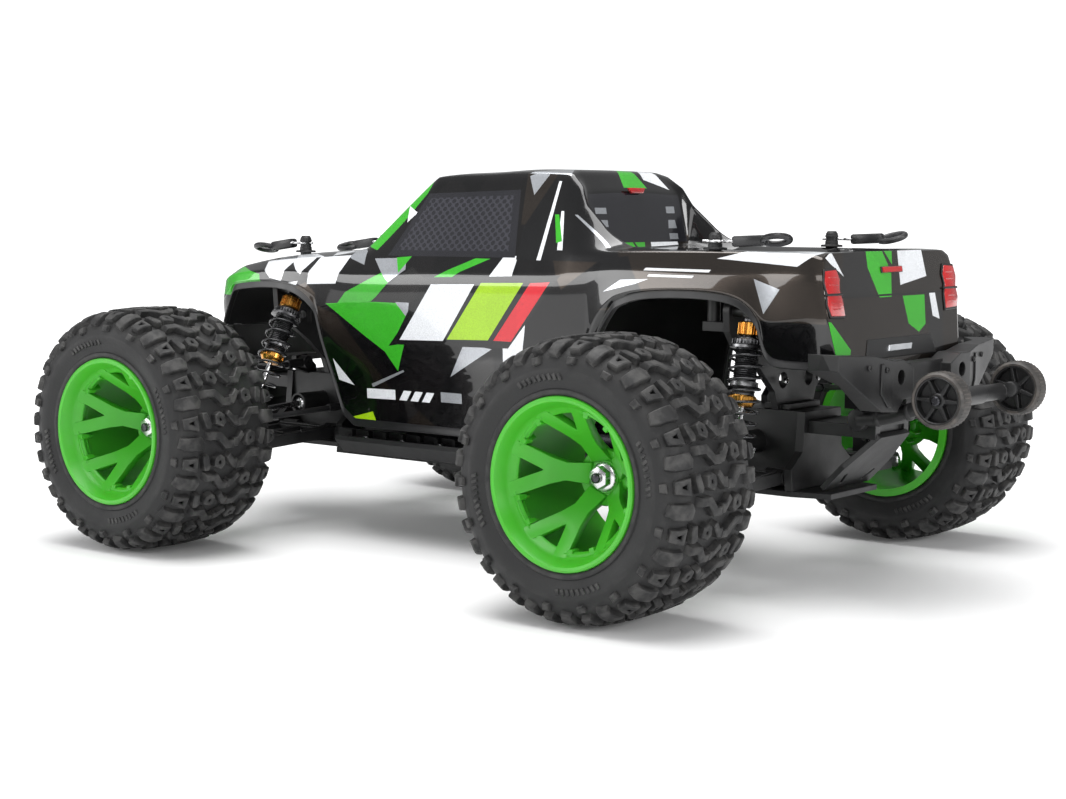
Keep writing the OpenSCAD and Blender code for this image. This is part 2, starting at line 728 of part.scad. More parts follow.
module motor() {
    axis = [motor_y, drive_z];
    color("#3a3b40") on_car() difference() {
        union() {
            rod_x(axis, motor_x[0], motor_x[1] - 0.2, motor_r);
            for (i = [0:11]) translate([0, motor_y, drive_z]) rotate([i * 30, 0, 0])
                box([motor_x[0] + 8, -1, motor_r - 1], [motor_x[1] - 10, 1, motor_r + 1.6]);
        }
        rod_x(axis, motor_x[1] - 20, motor_x[1] + 1, 4);
    }
}

module speed_controller() {
    color("#18191b") on_car() {
        box([18, 8, 53.2], [70, 46, 74]);
        for (x = [22:5:62]) box([x, 11, 73], [x + 2, 43, 84]);
    }
}

module steering_servo() {
    color("#16171a") on_car() {
        box([78, 10, 53.2], [118, 30, 88]);
        box([73, 10, 80], [122.5, 30, 82.5]);
        translate([108, 20, 87]) cylinder(h = 4, r = 5);
    }
}

module battery() {
    color("#2b3240") on_car() hull() {
        for (x = [-14, 108])
            for (y = [-47, -8])
                translate([x, y, 53.3]) cylinder(h = 25, r = 3, $fn = HULL_FN);
    }
}

// ---------- bumpers ----------

module skid(lean, width) {
    length = 42;
    rotate([0, -lean, 0]) linear_extrude(3) difference() {
        polygon([
            [0, -width], [18, -width], [length, -width * 0.65],
            [length, width * 0.65], [18, width], [0, width]
        ]);
        for (s = [-1, 1]) translate([8, s * width * 0.55]) rotate(s * 25) square([9, 2.6], center = true);
    }
}

module front_bumper() {
    color("#232426") on_car() difference() {
        union() {
            translate([213, 0, 54.5]) skid(54, 26);
            box([198, -17, 84], [238, 17, 92]);
            box([224, -12, 75], [236, 12, 101]);
            translate([0, 0, 100]) linear_extrude(26) polygon([
                [228, -40], [228, 40], [219, 66], [224, 74], [233, 70], [front_reach, 38],
                [front_reach, -38], [233, -70], [224, -74], [219, -66]
            ]);
            box([214, -30, 100], [236, 30, 104]);
        }
        both_sides() rod_x([33, 113], 220, 245, 4);
    }
}

module rear_bumper() {
    back = bumper_face[0];
    inner = bumper_face[1];
    color("#2a2b2d") on_car() difference() {
        union() {
            mirror([1, 0, 0]) translate([213, 0, 54.5]) skid(46, 26);
            box([-238, -17, 84], [-198, 17, 91]);
            both_sides() box([-240, 14, 84], [-226, 19, 98]);
            box([back + 6, -24, 108.2], [inner, 24, 126]);
            box([back + 6, -18, 101], [inner, 18, 109]);
            box([inner - 1, -18, 101], [-232, 18, 105]);
            box([-240, -16, 90], [-234, 16, 102]);
            both_sides() intersection() {
                translate([0, 0, 98]) linear_extrude(40) polygon([
                    [inner, 22], [inner, 78], [-238, 90], [-248, 93], [-256, 91], [back, 46], [back, 22]
                ]);
                plate_x(back - 1, -230) polygon([
                    [22, 108.2], [33, 108.2], [40, 102], [54, 103], [92, 126],
                    [93, 134], [60, 132], [44, 129], [34, 129], [22, 124]
                ]);
            }
        }
        both_sides() rod_x(bumper_hole, back - 5, inner + 5, bumper_hole_r);
    }
}

module wheelie_bar() {
    root = [232, 20, 94.5];
    cross = [wheelie_x - 6, wheelie_z - 1.5];
    axle = [wheelie_x, wheelie_z];
    inner_face = wheelie_y - wheelie_w / 2;
    outer_face = wheelie_y + wheelie_w / 2;
    color("#1e1f21") on_car() mirror([1, 0, 0]) {
        both_sides() {
            rod_y([root[0], root[2]], 20.3, 26, 6);
            step = [cross[0] - root[0], 7, cross[1] - root[2]];
            translate([root[0], 23, root[2]])
                rotate([0, atan2(norm([step[0], step[1]]), step[2]), 0])
                    cylinder(h = norm(step), r = 4);
            rod_y(axle, inner_face - 6, inner_face - 0.3, 4.5);
            rod_y(axle, inner_face - 1, outer_face + 0.4, 1.6);
            rod_y(axle, outer_face + 0.3, outer_face + 1.6, 3);
            rod_y(cross, 0, inner_face - 0.3, 4.5);
            rod_y([root[0], root[2]], 19.3, 27.5, 2);
        }
    }
}

module wheelie_wheel() {
    half = wheelie_w / 2;
    rotate([-90, 0, 0]) {
        rotate_extrude() polygon([[wheelie_r - 2.4, -half], [wheelie_r - 0.6, -half], [wheelie_r, -half + 1],
            [wheelie_r, half - 1], [wheelie_r - 0.6, half], [wheelie_r - 2.4, half]]);
        rotate_extrude()
            polygon([[1.6 + running_gap, -half], [3.6, -half], [3.6, half], [1.6 + running_gap, half]]);
        rotate_extrude() polygon([[3, -1], [wheelie_r - 2, -1], [wheelie_r - 2, 0.4], [3, 0.4]]);
        for (i = [0:5]) rotate(i * 60) box([3, -0.9, -half + 1.5], [wheelie_r - 2, 0.9, half - 1.5]);
    }
}

module wheelie_wheels() {
    color("#2b2b2c") on_car() both_sides() translate([-wheelie_x, wheelie_y, wheelie_z]) wheelie_wheel();
}

// ---------- body clips and shell ----------

// Steel clip through the post with a rubber pull tab, pointing along reach
module clip(at, top_z, reach, droop) {
    z = top_z - clip_drop;
    wire = 0.8;
    side = reach > 0 ? 1 : -1;
    translate([at[0], at[1], z]) {
        rod_x([0, 0], side > 0 ? -6 : -14, side > 0 ? 14 : 6, wire);
        rod_x([post_r + 2.2, 0], side > 0 ? -3 : -14, side > 0 ? 14 : 3, wire);
        translate([side * 17, 1.6, 0]) rotate_extrude() translate([4.2, 0]) circle(r = wire);
        translate([side * 21.4, 1.6, 0]) rotate([0, droop * side, 0]) {
            box([side > 0 ? 0.6 : -20, -2.4, -1.6], [side > 0 ? 20 : -0.6, 2.4, 1.6]);
            translate([side * 24, 0, 0]) rotate_extrude() translate([4.6, 0]) circle(r = 1.5);
        }
    }
}

module body_clips() {
    color("#16181a") on_car() both_sides() {
        clip(front_post, front_post_top, 1, 8);
        clip(rear_post, rear_post_top, -1, 0);
    }
}

function lean_x(s, z) = s[0] + s[2] * (s[9] - z) / 60;

// Half outline of the outer skin, bottom edge first
function outer_half(s) = [
    for (p = [s[3], s[4], s[5], s[6], s[7], s[8], [0, s[9]]]) [lean_x(s, p[1]), p[0], p[1]]
];

function inner_half(s) = let (w = shell_wall, o = outer_half(s),
    steps = [[-w, 0], [-w, 0], [-w, -w / 2], [-w, -w], [-w / 2, -2 * w], [w, -w], [0, -w]])
    [for (i = [0:6]) o[i] + [s[1], steps[i][0], steps[i][1]]];

function mirrored(p) = [p[0], -p[1], p[2]];
function full_ring(half) = concat(half, [for (i = [5:-1:0]) mirrored(half[i])]);

module shell_skin() {
    n = 13;
    last = len(shell_stations) - 1;
    inner = n * (last + 1);
    points = concat(
        [for (s = shell_stations) each full_ring(outer_half(s))],
        [for (s = shell_stations) each full_ring(inner_half(s))]
    );
    skin = [for (i = [0:last - 1]) for (j = [0:n - 2]) let (a = i * n + j, d = a + n)
        each [
            [a, d, d + 1], [a, d + 1, a + 1],
            [inner + a, inner + d + 1, inner + d], [inner + a, inner + a + 1, inner + d + 1]
        ]];
    rim = [for (i = [0:last - 1]) let (l = i * n, r = l + n - 1) each [
        [l, inner + l, inner + l + n], [l, inner + l + n, l + n],
        [r, inner + r + n, inner + r], [r, r + n, inner + r + n]]];
    tail = [
        [for (j = [0:n - 1]) j], [for (j = [n - 1:-1:0]) inner + j],
        [0, n - 1, inner + n - 1], [0, inner + n - 1, inner]
    ];
    top = last * n;
    nose = [
        [for (j = [n - 1:-1:0]) top + j], [for (j = [0:n - 1]) inner + top + j],
        [top + n - 1, top, inner + top], [top + n - 1, inner + top, inner + top + n - 1]
    ];
    polyhedron(points, concat(skin, rim, tail, nose), convexity = 10);
}

module body_shell() {
    hole_r = post_r + 1;
    color("#2d2a28") on_car() difference() {
        shell_skin();
        both_sides()
            for (p = [front_post, rear_post])
                translate([p[0], p[1], 160]) cylinder(h = 40, r = hole_r);
    }
}

corner(FRONT, LEFT) tyre();  // tyre_fl
corner(FRONT, RIGHT) tyre();  // tyre_fr
corner(REAR, LEFT) tyre();  // tyre_rl
corner(REAR, RIGHT) tyre();  // tyre_rr
corner(FRONT, LEFT) rim();  // rim_fl
corner(FRONT, RIGHT) rim();  // rim_fr
corner(REAR, LEFT) rim();  // rim_rl
corner(REAR, RIGHT) rim();  // rim_rr
corner(FRONT, LEFT) stub_axle();  // stub_axle_fl
corner(FRONT, RIGHT) stub_axle();  // stub_axle_fr
corner(REAR, LEFT) stub_axle();  // stub_axle_rl
corner(REAR, RIGHT) stub_axle();  // stub_axle_rr
corner(FRONT, LEFT) knuckle();  // knuckle_fl
corner(FRONT, RIGHT) knuckle();  // knuckle_fr
corner(REAR, LEFT) hub_carrier();  // hub_carrier_rl
corner(REAR, RIGHT) hub_carrier();  // hub_carrier_rr
corner(FRONT, LEFT) caster_block();  // caster_block_l
corner(FRONT, RIGHT) caster_block();  // caster_block_r
corner(FRONT, LEFT) lower_arm(FRONT);  // lower_arm_fl
corner(FRONT, RIGHT) lower_arm(FRONT);  // lower_arm_fr
corner(REAR, LEFT) lower_arm(REAR);  // lower_arm_rl
corner(REAR, RIGHT) lower_arm(REAR);  // lower_arm_rr
corner(FRONT, LEFT) upper_link();  // upper_link_fl
corner(FRONT, RIGHT) upper_link();  // upper_link_fr
corner(REAR, LEFT) upper_link();  // upper_link_rl
corner(REAR, RIGHT) upper_link();  // upper_link_rr
corner(FRONT, LEFT) half_shaft();  // half_shaft_fl
corner(FRONT, RIGHT) half_shaft();  // half_shaft_fr
corner(REAR, LEFT) half_shaft();  // half_shaft_rl
corner(REAR, RIGHT) half_shaft();  // half_shaft_rr
corner(FRONT, LEFT) damper_body(FRONT);  // damper_body_fl
corner(FRONT, RIGHT) damper_body(FRONT);  // damper_body_fr
corner(REAR, LEFT) damper_body(REAR);  // damper_body_rl
corner(REAR, RIGHT) damper_body(REAR);  // damper_body_rr
corner(FRONT, LEFT) damper_rod(FRONT);  // damper_rod_fl
corner(FRONT, RIGHT) damper_rod(FRONT);  // damper_rod_fr
corner(REAR, LEFT) damper_rod(REAR);  // damper_rod_rl
corner(REAR, RIGHT) damper_rod(REAR);  // damper_rod_rr
corner(FRONT, LEFT) spring(FRONT);  // spring_fl
corner(FRONT, RIGHT) spring(FRONT);  // spring_fr
corner(REAR, LEFT) spring(REAR);  // spring_rl
corner(REAR, RIGHT) spring(REAR);  // spring_rr
corner(FRONT, LEFT) tie_rod();  // tie_rod_l
corner(FRONT, RIGHT) tie_rod();  // tie_rod_r
steering_rack();
steering_servo();
chassis_tub();
gearboxes();
shock_towers();
centre_shaft();
motor_pinion();
motor();
speed_controller();
battery();
front_bumper();
rear_bumper();
wheelie_bar();
wheelie_wheels();
body_clips();
body_shell();
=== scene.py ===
import json
import math

import bmesh
import bpy
from mathutils import Matrix, Vector


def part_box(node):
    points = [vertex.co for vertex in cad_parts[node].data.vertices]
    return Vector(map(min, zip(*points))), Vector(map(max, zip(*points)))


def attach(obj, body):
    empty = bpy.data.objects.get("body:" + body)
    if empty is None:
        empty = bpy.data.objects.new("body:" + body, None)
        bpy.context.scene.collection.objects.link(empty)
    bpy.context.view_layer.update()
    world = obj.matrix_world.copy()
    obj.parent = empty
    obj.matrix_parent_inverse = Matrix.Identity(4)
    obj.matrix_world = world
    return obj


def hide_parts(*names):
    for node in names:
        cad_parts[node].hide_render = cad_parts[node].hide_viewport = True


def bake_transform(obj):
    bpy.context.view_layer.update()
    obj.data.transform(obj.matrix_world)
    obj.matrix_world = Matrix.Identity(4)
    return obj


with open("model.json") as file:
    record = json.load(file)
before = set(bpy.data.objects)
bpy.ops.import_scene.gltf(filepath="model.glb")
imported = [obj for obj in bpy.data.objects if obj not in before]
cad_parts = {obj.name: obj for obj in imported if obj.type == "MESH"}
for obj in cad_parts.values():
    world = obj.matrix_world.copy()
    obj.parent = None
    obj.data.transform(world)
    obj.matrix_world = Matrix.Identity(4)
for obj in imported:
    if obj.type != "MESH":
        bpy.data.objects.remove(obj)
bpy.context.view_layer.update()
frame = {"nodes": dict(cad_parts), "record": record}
scene = bpy.context.scene
mm = 0.001
corners = ("fl", "fr", "rl", "rr")


def middle(node):
    low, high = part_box(node)
    return (low + high) / 2


wheelMid = {corner: middle("tyre_" + corner) for corner in corners}
carX = (wheelMid["fl"].x + wheelMid["rl"].x) / 2  # middle of the wheelbase
print("frame loaded, middle of the wheelbase at x =", round(carX, 4))


# Places turn millimetres in a local frame into metres in the shared frame
def carFrame():
    return moved(carX, 0, 0) @ Matrix.Scale(mm, 4)


def sideOf(corner):
    return 1 if wheelMid[corner].y > 0 else -1


def cornerFrame(corner):  # x from the axle, y outboard from the centre line, z from the ground
    return moved(wheelMid[corner].x, 0, 0) @ Matrix.Diagonal((mm, sideOf(corner) * mm, mm, 1))


def wheelFrame(corner):  # the wheel's middle, y outboard
    return Matrix.Translation(wheelMid[corner]) @ Matrix.Diagonal((mm, sideOf(corner) * mm, mm, 1))


def makePiece(name, bm, place, looks, body, replaced=(), sharp=32, merge=0.001):
    bmesh.ops.remove_doubles(bm, verts=bm.verts, dist=merge)
    bmesh.ops.recalc_face_normals(bm, faces=bm.faces)
    bmesh.ops.transform(bm, matrix=place, verts=bm.verts)
    if place.determinant() < 0:
        bmesh.ops.reverse_faces(bm, faces=bm.faces)
    mesh = bpy.data.meshes.new(name)
    bm.to_mesh(mesh)
    bm.free()
    for look in looks:
        mesh.materials.append(look)
    mesh.shade_smooth()
    mesh.set_sharp_from_angle(angle=math.radians(sharp))
    piece = bpy.data.objects.new(name, mesh)
    scene.collection.objects.link(piece)
    if body:
        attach(piece, body)
    if replaced:
        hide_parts(*replaced)
    return piece


def moved(x, y, z):
    return Matrix.Translation((x, y, z))


def spun(degrees, axis="Y"):
    return Matrix.Rotation(math.radians(degrees), 4, axis)


def whole(bm):
    return list(bm.verts) + list(bm.edges) + list(bm.faces)


def bentEdges(bm, angle):
    return [edge for edge in bm.edges if edge.calc_face_angle(0) > angle]


def outlineFace(bm, points):
    return bm.faces.new([bm.verts.new(point) for point in points])


def openLine(bm, points, closed=False):
    verts = [bm.verts.new(point) for point in points]
    pairs = list(zip(verts, verts[1:])) + ([(verts[-1], verts[0])] if closed else [])
    return [bm.edges.new(pair) for pair in pairs]


# Spins a profile of (radius, along) pairs about an axis
def turned(bm, profile, steps=64, axis="Y", closed=True, look=0):
    before = set(bm.faces)
    spot = {"Y": lambda r, a: (0, a, r), "Z": lambda r, a: (r, 0, a), "X": lambda r, a: (a, 0, r)}[axis]
    edges = openLine(bm, [spot(r, a) for r, a in profile], closed)
    verts = list({vert for edge in edges for vert in edge.verts})
    direction = {"Y": (0, 1, 0), "Z": (0, 0, 1), "X": (1, 0, 0)}[axis]
    bmesh.ops.spin(bm, geom=verts + edges, cent=(0, 0, 0), axis=direction, angle=2 * math.pi,
                   steps=steps, use_merge=True)
    added = [face for face in bm.faces if face not in before]
    for face in added:
        face.material_index = look
    return added


def raiseFaces(bm, faces, step):
    grown = bmesh.ops.extrude_face_region(bm, geom=faces)["geom"]
    verts = [item for item in grown if isinstance(item, bmesh.types.BMVert)]
    bmesh.ops.translate(bm, verts=verts, vec=step)
    return grown, verts


def roundEdges(bm, edges, size, segments=1):
    bmesh.ops.bevel(bm, geom=edges, offset=size, offset_type="OFFSET", segments=segments, profile=0.5,
                    affect="EDGES", clamp_overlap=True, material=-1)


# A flat outline in x and y, raised along z, all its edges rounded
def plateSolid(points, thick, size=0.0, segments=1):
    bm = bmesh.new()
    face = outlineFace(bm, [(x, y, 0) for x, y in points])
    raiseFaces(bm, [face], (0, 0, thick))
    if size:
        roundEdges(bm, list(bm.edges), size, segments)
    return bm


# Puts a finished bmesh into another one
def addShape(bm, part, place=Matrix.Identity(4), look=0):
    bmesh.ops.transform(part, matrix=place, verts=part.verts)
    if place.determinant() < 0:
        bmesh.ops.reverse_faces(part, faces=part.faces)
    for face in part.faces:
        face.material_index = look
    holder = bpy.data.meshes.new("holder")
    part.to_mesh(holder)
    part.free()
    bm.from_mesh(holder)
    bpy.data.meshes.remove(holder)


def blockShape(low, high, size=0.0, segments=1):
    bm = bmesh.new()
    span = [h - l for l, h in zip(low, high)]
    centre = [(h + l) / 2 for l, h in zip(low, high)]
    bmesh.ops.create_cube(bm, size=1, matrix=Matrix.Translation(centre) @ Matrix.Diagonal((*span, 1)))
    if size:
        roundEdges(bm, list(bm.edges), size, segments)
    return bm


# A rod along z from 0
def ringOfBlocks(bm, count, low, high, size, axis="Y"):
    for index in range(count):
        addShape(bm, blockShape(low, high, size), spun(index * 360 / count, axis))


def rodShape(radius, length, sides=24, size=0.0):
    bm = bmesh.new()
    bmesh.ops.create_cone(bm, cap_ends=True, segments=sides, radius1=radius, radius2=radius, depth=length,
                          matrix=moved(0, 0, length / 2))
    if size:
        rims = [edge for edge in bm.edges if abs(edge.verts[0].co.z - edge.verts[1].co.z) < 0.001]
        roundEdges(bm, rims, size, 2)
    return bm


def wireShape(points, radius, cyclic=False, sides=2):
    curve = bpy.data.curves.new("wire", "CURVE")
    curve.dimensions = "3D"
    curve.bevel_depth = radius
    curve.bevel_resolution = sides
    curve.resolution_u = 4
    curve.use_fill_caps = True
    spline = curve.splines.new("NURBS")
    spline.points.add(len(points) - 1)
    for spot, point in zip(spline.points, points):
        spot.co = (*point, 1)
    spline.use_cyclic_u = cyclic
    spline.use_endpoint_u = not cyclic
    spline.order_u = 3
    holder = bpy.data.objects.new("wire", curve)
    scene.collection.objects.link(holder)
    mesh = bpy.data.meshes.new_from_object(holder.evaluated_get(bpy.context.evaluated_depsgraph_get()))
    bm = bmesh.new()
    bm.from_mesh(mesh)
    bpy.data.objects.remove(holder)
    bpy.data.curves.remove(curve)
    bpy.data.meshes.remove(mesh)
    return bm


def addNode(tree, kind, inputs=None, **settings):
    node = tree.nodes.new(kind)
    for key, value in settings.items():
        setattr(node, key, value)
    for key, value in (inputs or {}).items():
        if isinstance(value, bpy.types.NodeSocket):
            tree.links.new(value, node.inputs[key])
        else:
            node.inputs[key].default_value = value
    return node


# A value spread from one range onto another
def ranged(tree, value, low, high, start=0.0, end=1.0):
    spread = addNode(tree, "ShaderNodeMapRange", {"Value": value, "From Min": start, "From Max": end,
                                                  "To Min": low, "To Max": high})
    return spread.outputs["Result"]


def noiseOf(tree, vector, scale, detail, rough=0.5):
    return addNode(tree, "ShaderNodeTexNoise", {"Vector": vector, "Scale": scale, "Detail": detail,
                                                "Roughness": rough}).outputs["Fac"]


def placeGroup(tree, group, **values):
    return addNode(tree, "ShaderNodeGroup", values, node_tree=group).outputs


def mathNode(tree, operation, *values):
    return addNode(tree, "ShaderNodeMath", dict(enumerate(values)), operation=operation).outputs[0]


viewSettings = {
    "lens": 66.62,
    "place": (-0.70034, 0.96280, 0.20853),
    "azimuth": -52.488,
    "down": 5.695,
    "roll": 0.513,
}


def makeCamera():
    camera = bpy.data.objects.new("camera", bpy.data.cameras.new("camera"))
    scene.collection.objects.link(camera)
    camera.data.lens = viewSettings["lens"]
    camera.data.sensor_width = 36
    camera.data.clip_start = 0.01
    camera.data.clip_end = 30
    azimuth, down, roll = (math.radians(viewSettings[key]) for key in ("azimuth", "down", "roll"))
    level = math.cos(down)
    ahead = Vector((level * math.cos(azimuth), level * math.sin(azimuth), -math.sin(down)))
    across = ahead.cross(Vector((0, 0, 1))).normalized()
    upward = across.cross(ahead)
    right = math.cos(roll) * across + math.sin(roll) * upward
    top = math.cos(roll) * upward - math.sin(roll) * across
    turn = Matrix((right, top, -ahead)).transposed()
    camera.matrix_world = Matrix.Translation(viewSettings["place"]) @ turn.to_4x4()
    scene.camera = camera
    scene.view_settings.view_transform = "Standard"


def makeStage():
    bm = bmesh.new()
    bmesh.ops.create_grid(bm, x_segments=1, y_segments=1, size=20)
    mesh = bpy.data.meshes.new("floor")
    bm.to_mesh(mesh)
    bm.free()
    floor = bpy.data.objects.new("floor", mesh)
    scene.collection.objects.link(floor)
    look = bpy.data.materials.new("paleFloor")
    look.use_nodes = True
    shader = look.node_tree.nodes["Principled BSDF"]
    shader.inputs["Base Color"].default_value = (0.9, 0.9, 0.9, 1)
    shader.inputs["Roughness"].default_value = 0.85
    shader.inputs["Specular IOR Level"].default_value = 0.1
    shader.inputs["Emission Color"].default_value = (1, 1, 1, 1)
    # The floor glows weakly within about 0.35 m of its middle and reaches full strength 2.2 m out. This is
    # painted light: it whitens the floor away from the truck and leaves it darker close to it.
    far = addNode(look.node_tree, "ShaderNodeVectorMath",
                  {0: addNode(look.node_tree, "ShaderNodeTexCoord").outputs["Object"]}, operation="LENGTH")
    paintedFloorLight = ranged(look.node_tree, far.outputs["Value"], 0.04, 1.1, 0.35, 2.2)
    look.node_tree.links.new(paintedFloorLight, shader.inputs["Emission Strength"])
    mesh.materials.append(look)


def makeWorld():
    world = bpy.data.worlds.new("studio")
    scene.world = world
    world.use_nodes = True
    tree = world.node_tree
    seen = addNode(tree, "ShaderNodeLightPath").outputs["Is Camera Ray"]
    tree.links.new(ranged(tree, seen, 0.32, 1.2), tree.nodes["Background"].inputs["Strength"])
    tree.nodes["Background"].inputs["Color"].default_value = (0.98, 0.99, 1, 1)


studioLights = {
    "overhead": {"place": (0.1, 0.1, 1.7), "aim": (0, 0, 0.1), "size": (1.9, 1.3), "power": 38},
    "sideBank": {"place": (-0.9, 1.7, 0.9), "aim": (0, 0, 0.1), "size": (1.6, 0.7), "power": 10},
    "tailStrip": {"place": (-1.9, 0.1, 0.7), "aim": (0, 0, 0.12), "size": (0.9, 0.4), "power": 12},
    "frontFill": {"place": (1.4, 1.5, 0.7), "aim": (0, 0, 0.1), "size": (1.0, 0.8), "power": 12},
}


def makeLights():
    for name, values in studioLights.items():
        lamp = bpy.data.lights.new(name, "AREA")
        lamp.shape = "RECTANGLE"
        lamp.size, lamp.size_y = values["size"]
        lamp.energy = values["power"]
        holder = bpy.data.objects.new(name, lamp)
        scene.collection.objects.link(holder)
        place = Vector(values["place"])
        aim = (Vector(values["aim"]) - place).to_track_quat("-Z", "Y")
        holder.matrix_world = Matrix.Translation(place) @ aim.to_matrix().to_4x4()


makeCamera()
makeStage()
makeWorld()
makeLights()
print("camera, floor and lights set")


def startGroup(name, inputs, outputs):
    tree = bpy.data.node_groups.new(name, "ShaderNodeTree")
    for label, kind, value in inputs:
        socket = tree.interface.new_socket(label, in_out="INPUT", socket_type="NodeSocket" + kind)
        if value is not None:
            socket.default_value = value
    for label, kind in outputs:
        tree.interface.new_socket(label, in_out="OUTPUT", socket_type="NodeSocket" + kind)
    return tree, tree.nodes.new("NodeGroupInput").outputs, tree.nodes.new("NodeGroupOutput").inputs


def mixColour(tree, factor, first, second, mode="MIX"):
    node = addNode(tree, "ShaderNodeMix", data_type="RGBA", blend_type=mode)
    for socket, value in zip((node.inputs[0], node.inputs[6], node.inputs[7]), (factor, first, second)):
        if isinstance(value, bpy.types.NodeSocket):
            tree.links.new(value, socket)
        else:
            socket.default_value = value
    return node.outputs[2]


def makeGrain():
    tree, given, result = startGroup(
        "mouldGrain",
        [("Vector", "Vector", None), ("Scale", "Float", 900.0), ("Mottle Scale", "Float", 45.0)],
        [("Height", "Float"), ("Mottle", "Float")])
    fine = noiseOf(tree, given["Vector"], given["Scale"], 3.0)
    pits = addNode(tree, "ShaderNodeTexVoronoi", {"Vector": given["Vector"], "Scale": given["Scale"]})
    broad = noiseOf(tree, given["Vector"], given["Mottle Scale"], 4.0, 0.6)
    height = mathNode(tree, "MULTIPLY_ADD", pits.outputs["Distance"], 0.5, fine)
    tree.links.new(height, result["Height"])
    tree.links.new(ranged(tree, broad, 0, 1, 0.35, 0.65), result["Mottle"])
    return tree


def makeWear():
    tree, given, result = startGroup(
        "edgeWear", [("Vector", "Vector", None), ("Reach", "Float", 0.06)], [("Mask", "Float")])
    bend = addNode(tree, "ShaderNodeNewGeometry").outputs["Pointiness"]
    top = mathNode(tree, "ADD", given["Reach"], 0.51)
    edge = ranged(tree, bend, 0, 1, 0.51, top)
    cut = ranged(tree, noiseOf(tree, given["Vector"], 160.0, 5.0), 0, 1, 0.4, 0.6)
    tree.links.new(mathNode(tree, "MULTIPLY", edge, cut), result["Mask"])
    return tree


def makeDust():
    tree, given, result = startGroup(
        "dustFilm", [("Vector", "Vector", None), ("Amount", "Float", 0.1)], [("Mask", "Float")])
    normal = addNode(tree, "ShaderNodeNewGeometry").outputs["Normal"]
    facing = addNode(tree, "ShaderNodeSeparateXYZ", {"Vector": normal})
    upward = ranged(tree, facing.outputs["Z"], 0, 1, 0.1, 1.0)
    soft = ranged(tree, noiseOf(tree, given["Vector"], 70.0, 6.0), 0, 1, 0.35, 0.75)
    film = mathNode(tree, "MULTIPLY", upward, soft)
    tree.links.new(mathNode(tree, "MULTIPLY", film, given["Amount"]), result["Mask"])
    return tree


# Large straight-edged patches, each with its own brightness, over fine metal flake
def makeFacets():
    tree, given, result = startGroup(
        "paintFacets", [("Vector", "Vector", None), ("Scale", "Float", 26.0)],
        [("Patch", "Float"), ("Flake", "Float")])
    patches = addNode(tree, "ShaderNodeTexVoronoi", {"Vector": given["Vector"], "Scale": given["Scale"]},
                      distance="MANHATTAN")
    level = addNode(tree, "ShaderNodeSeparateColor", {"Color": patches.outputs["Color"]})
    tree.links.new(level.outputs["Red"], result["Patch"])
    flakes = addNode(tree, "ShaderNodeTexVoronoi", {"Vector": given["Vector"], "Scale": 2600.0})
    sparkle = addNode(tree, "ShaderNodeSeparateColor", {"Color": flakes.outputs["Color"]})
    tree.links.new(sparkle.outputs["Green"], result["Flake"])
    return tree


# A regular mesh of small six-sided holes, in millimetres: 1 on the threads between them
def makeNet():
    tree, given, result = startGroup(
        "windowNet", [("Vector", "Vector", None), ("Cell", "Float", 3.4)], [("Mask", "Float")])
    size = mathNode(tree, "DIVIDE", 1.0, given["Cell"])
    slant = {"Vector": given["Vector"], "Rotation": (0, 0, math.radians(45)), "Scale": (0.87, 1.0, 1.0)}
    slanted = addNode(tree, "ShaderNodeMapping", slant).outputs["Vector"]
    cells = addNode(tree, "ShaderNodeTexVoronoi", {"Vector": slanted, "Scale": size, "Randomness": 0.0},
                    voronoi_dimensions="2D")
    tree.links.new(ranged(tree, cells.outputs["Distance"], 0, 1, 0.32, 0.46), result["Mask"])
    return tree


grainGroup = makeGrain()
netGroup = makeNet()
wearGroup = makeWear()
dustGroup = makeDust()
facetGroup = makeFacets()


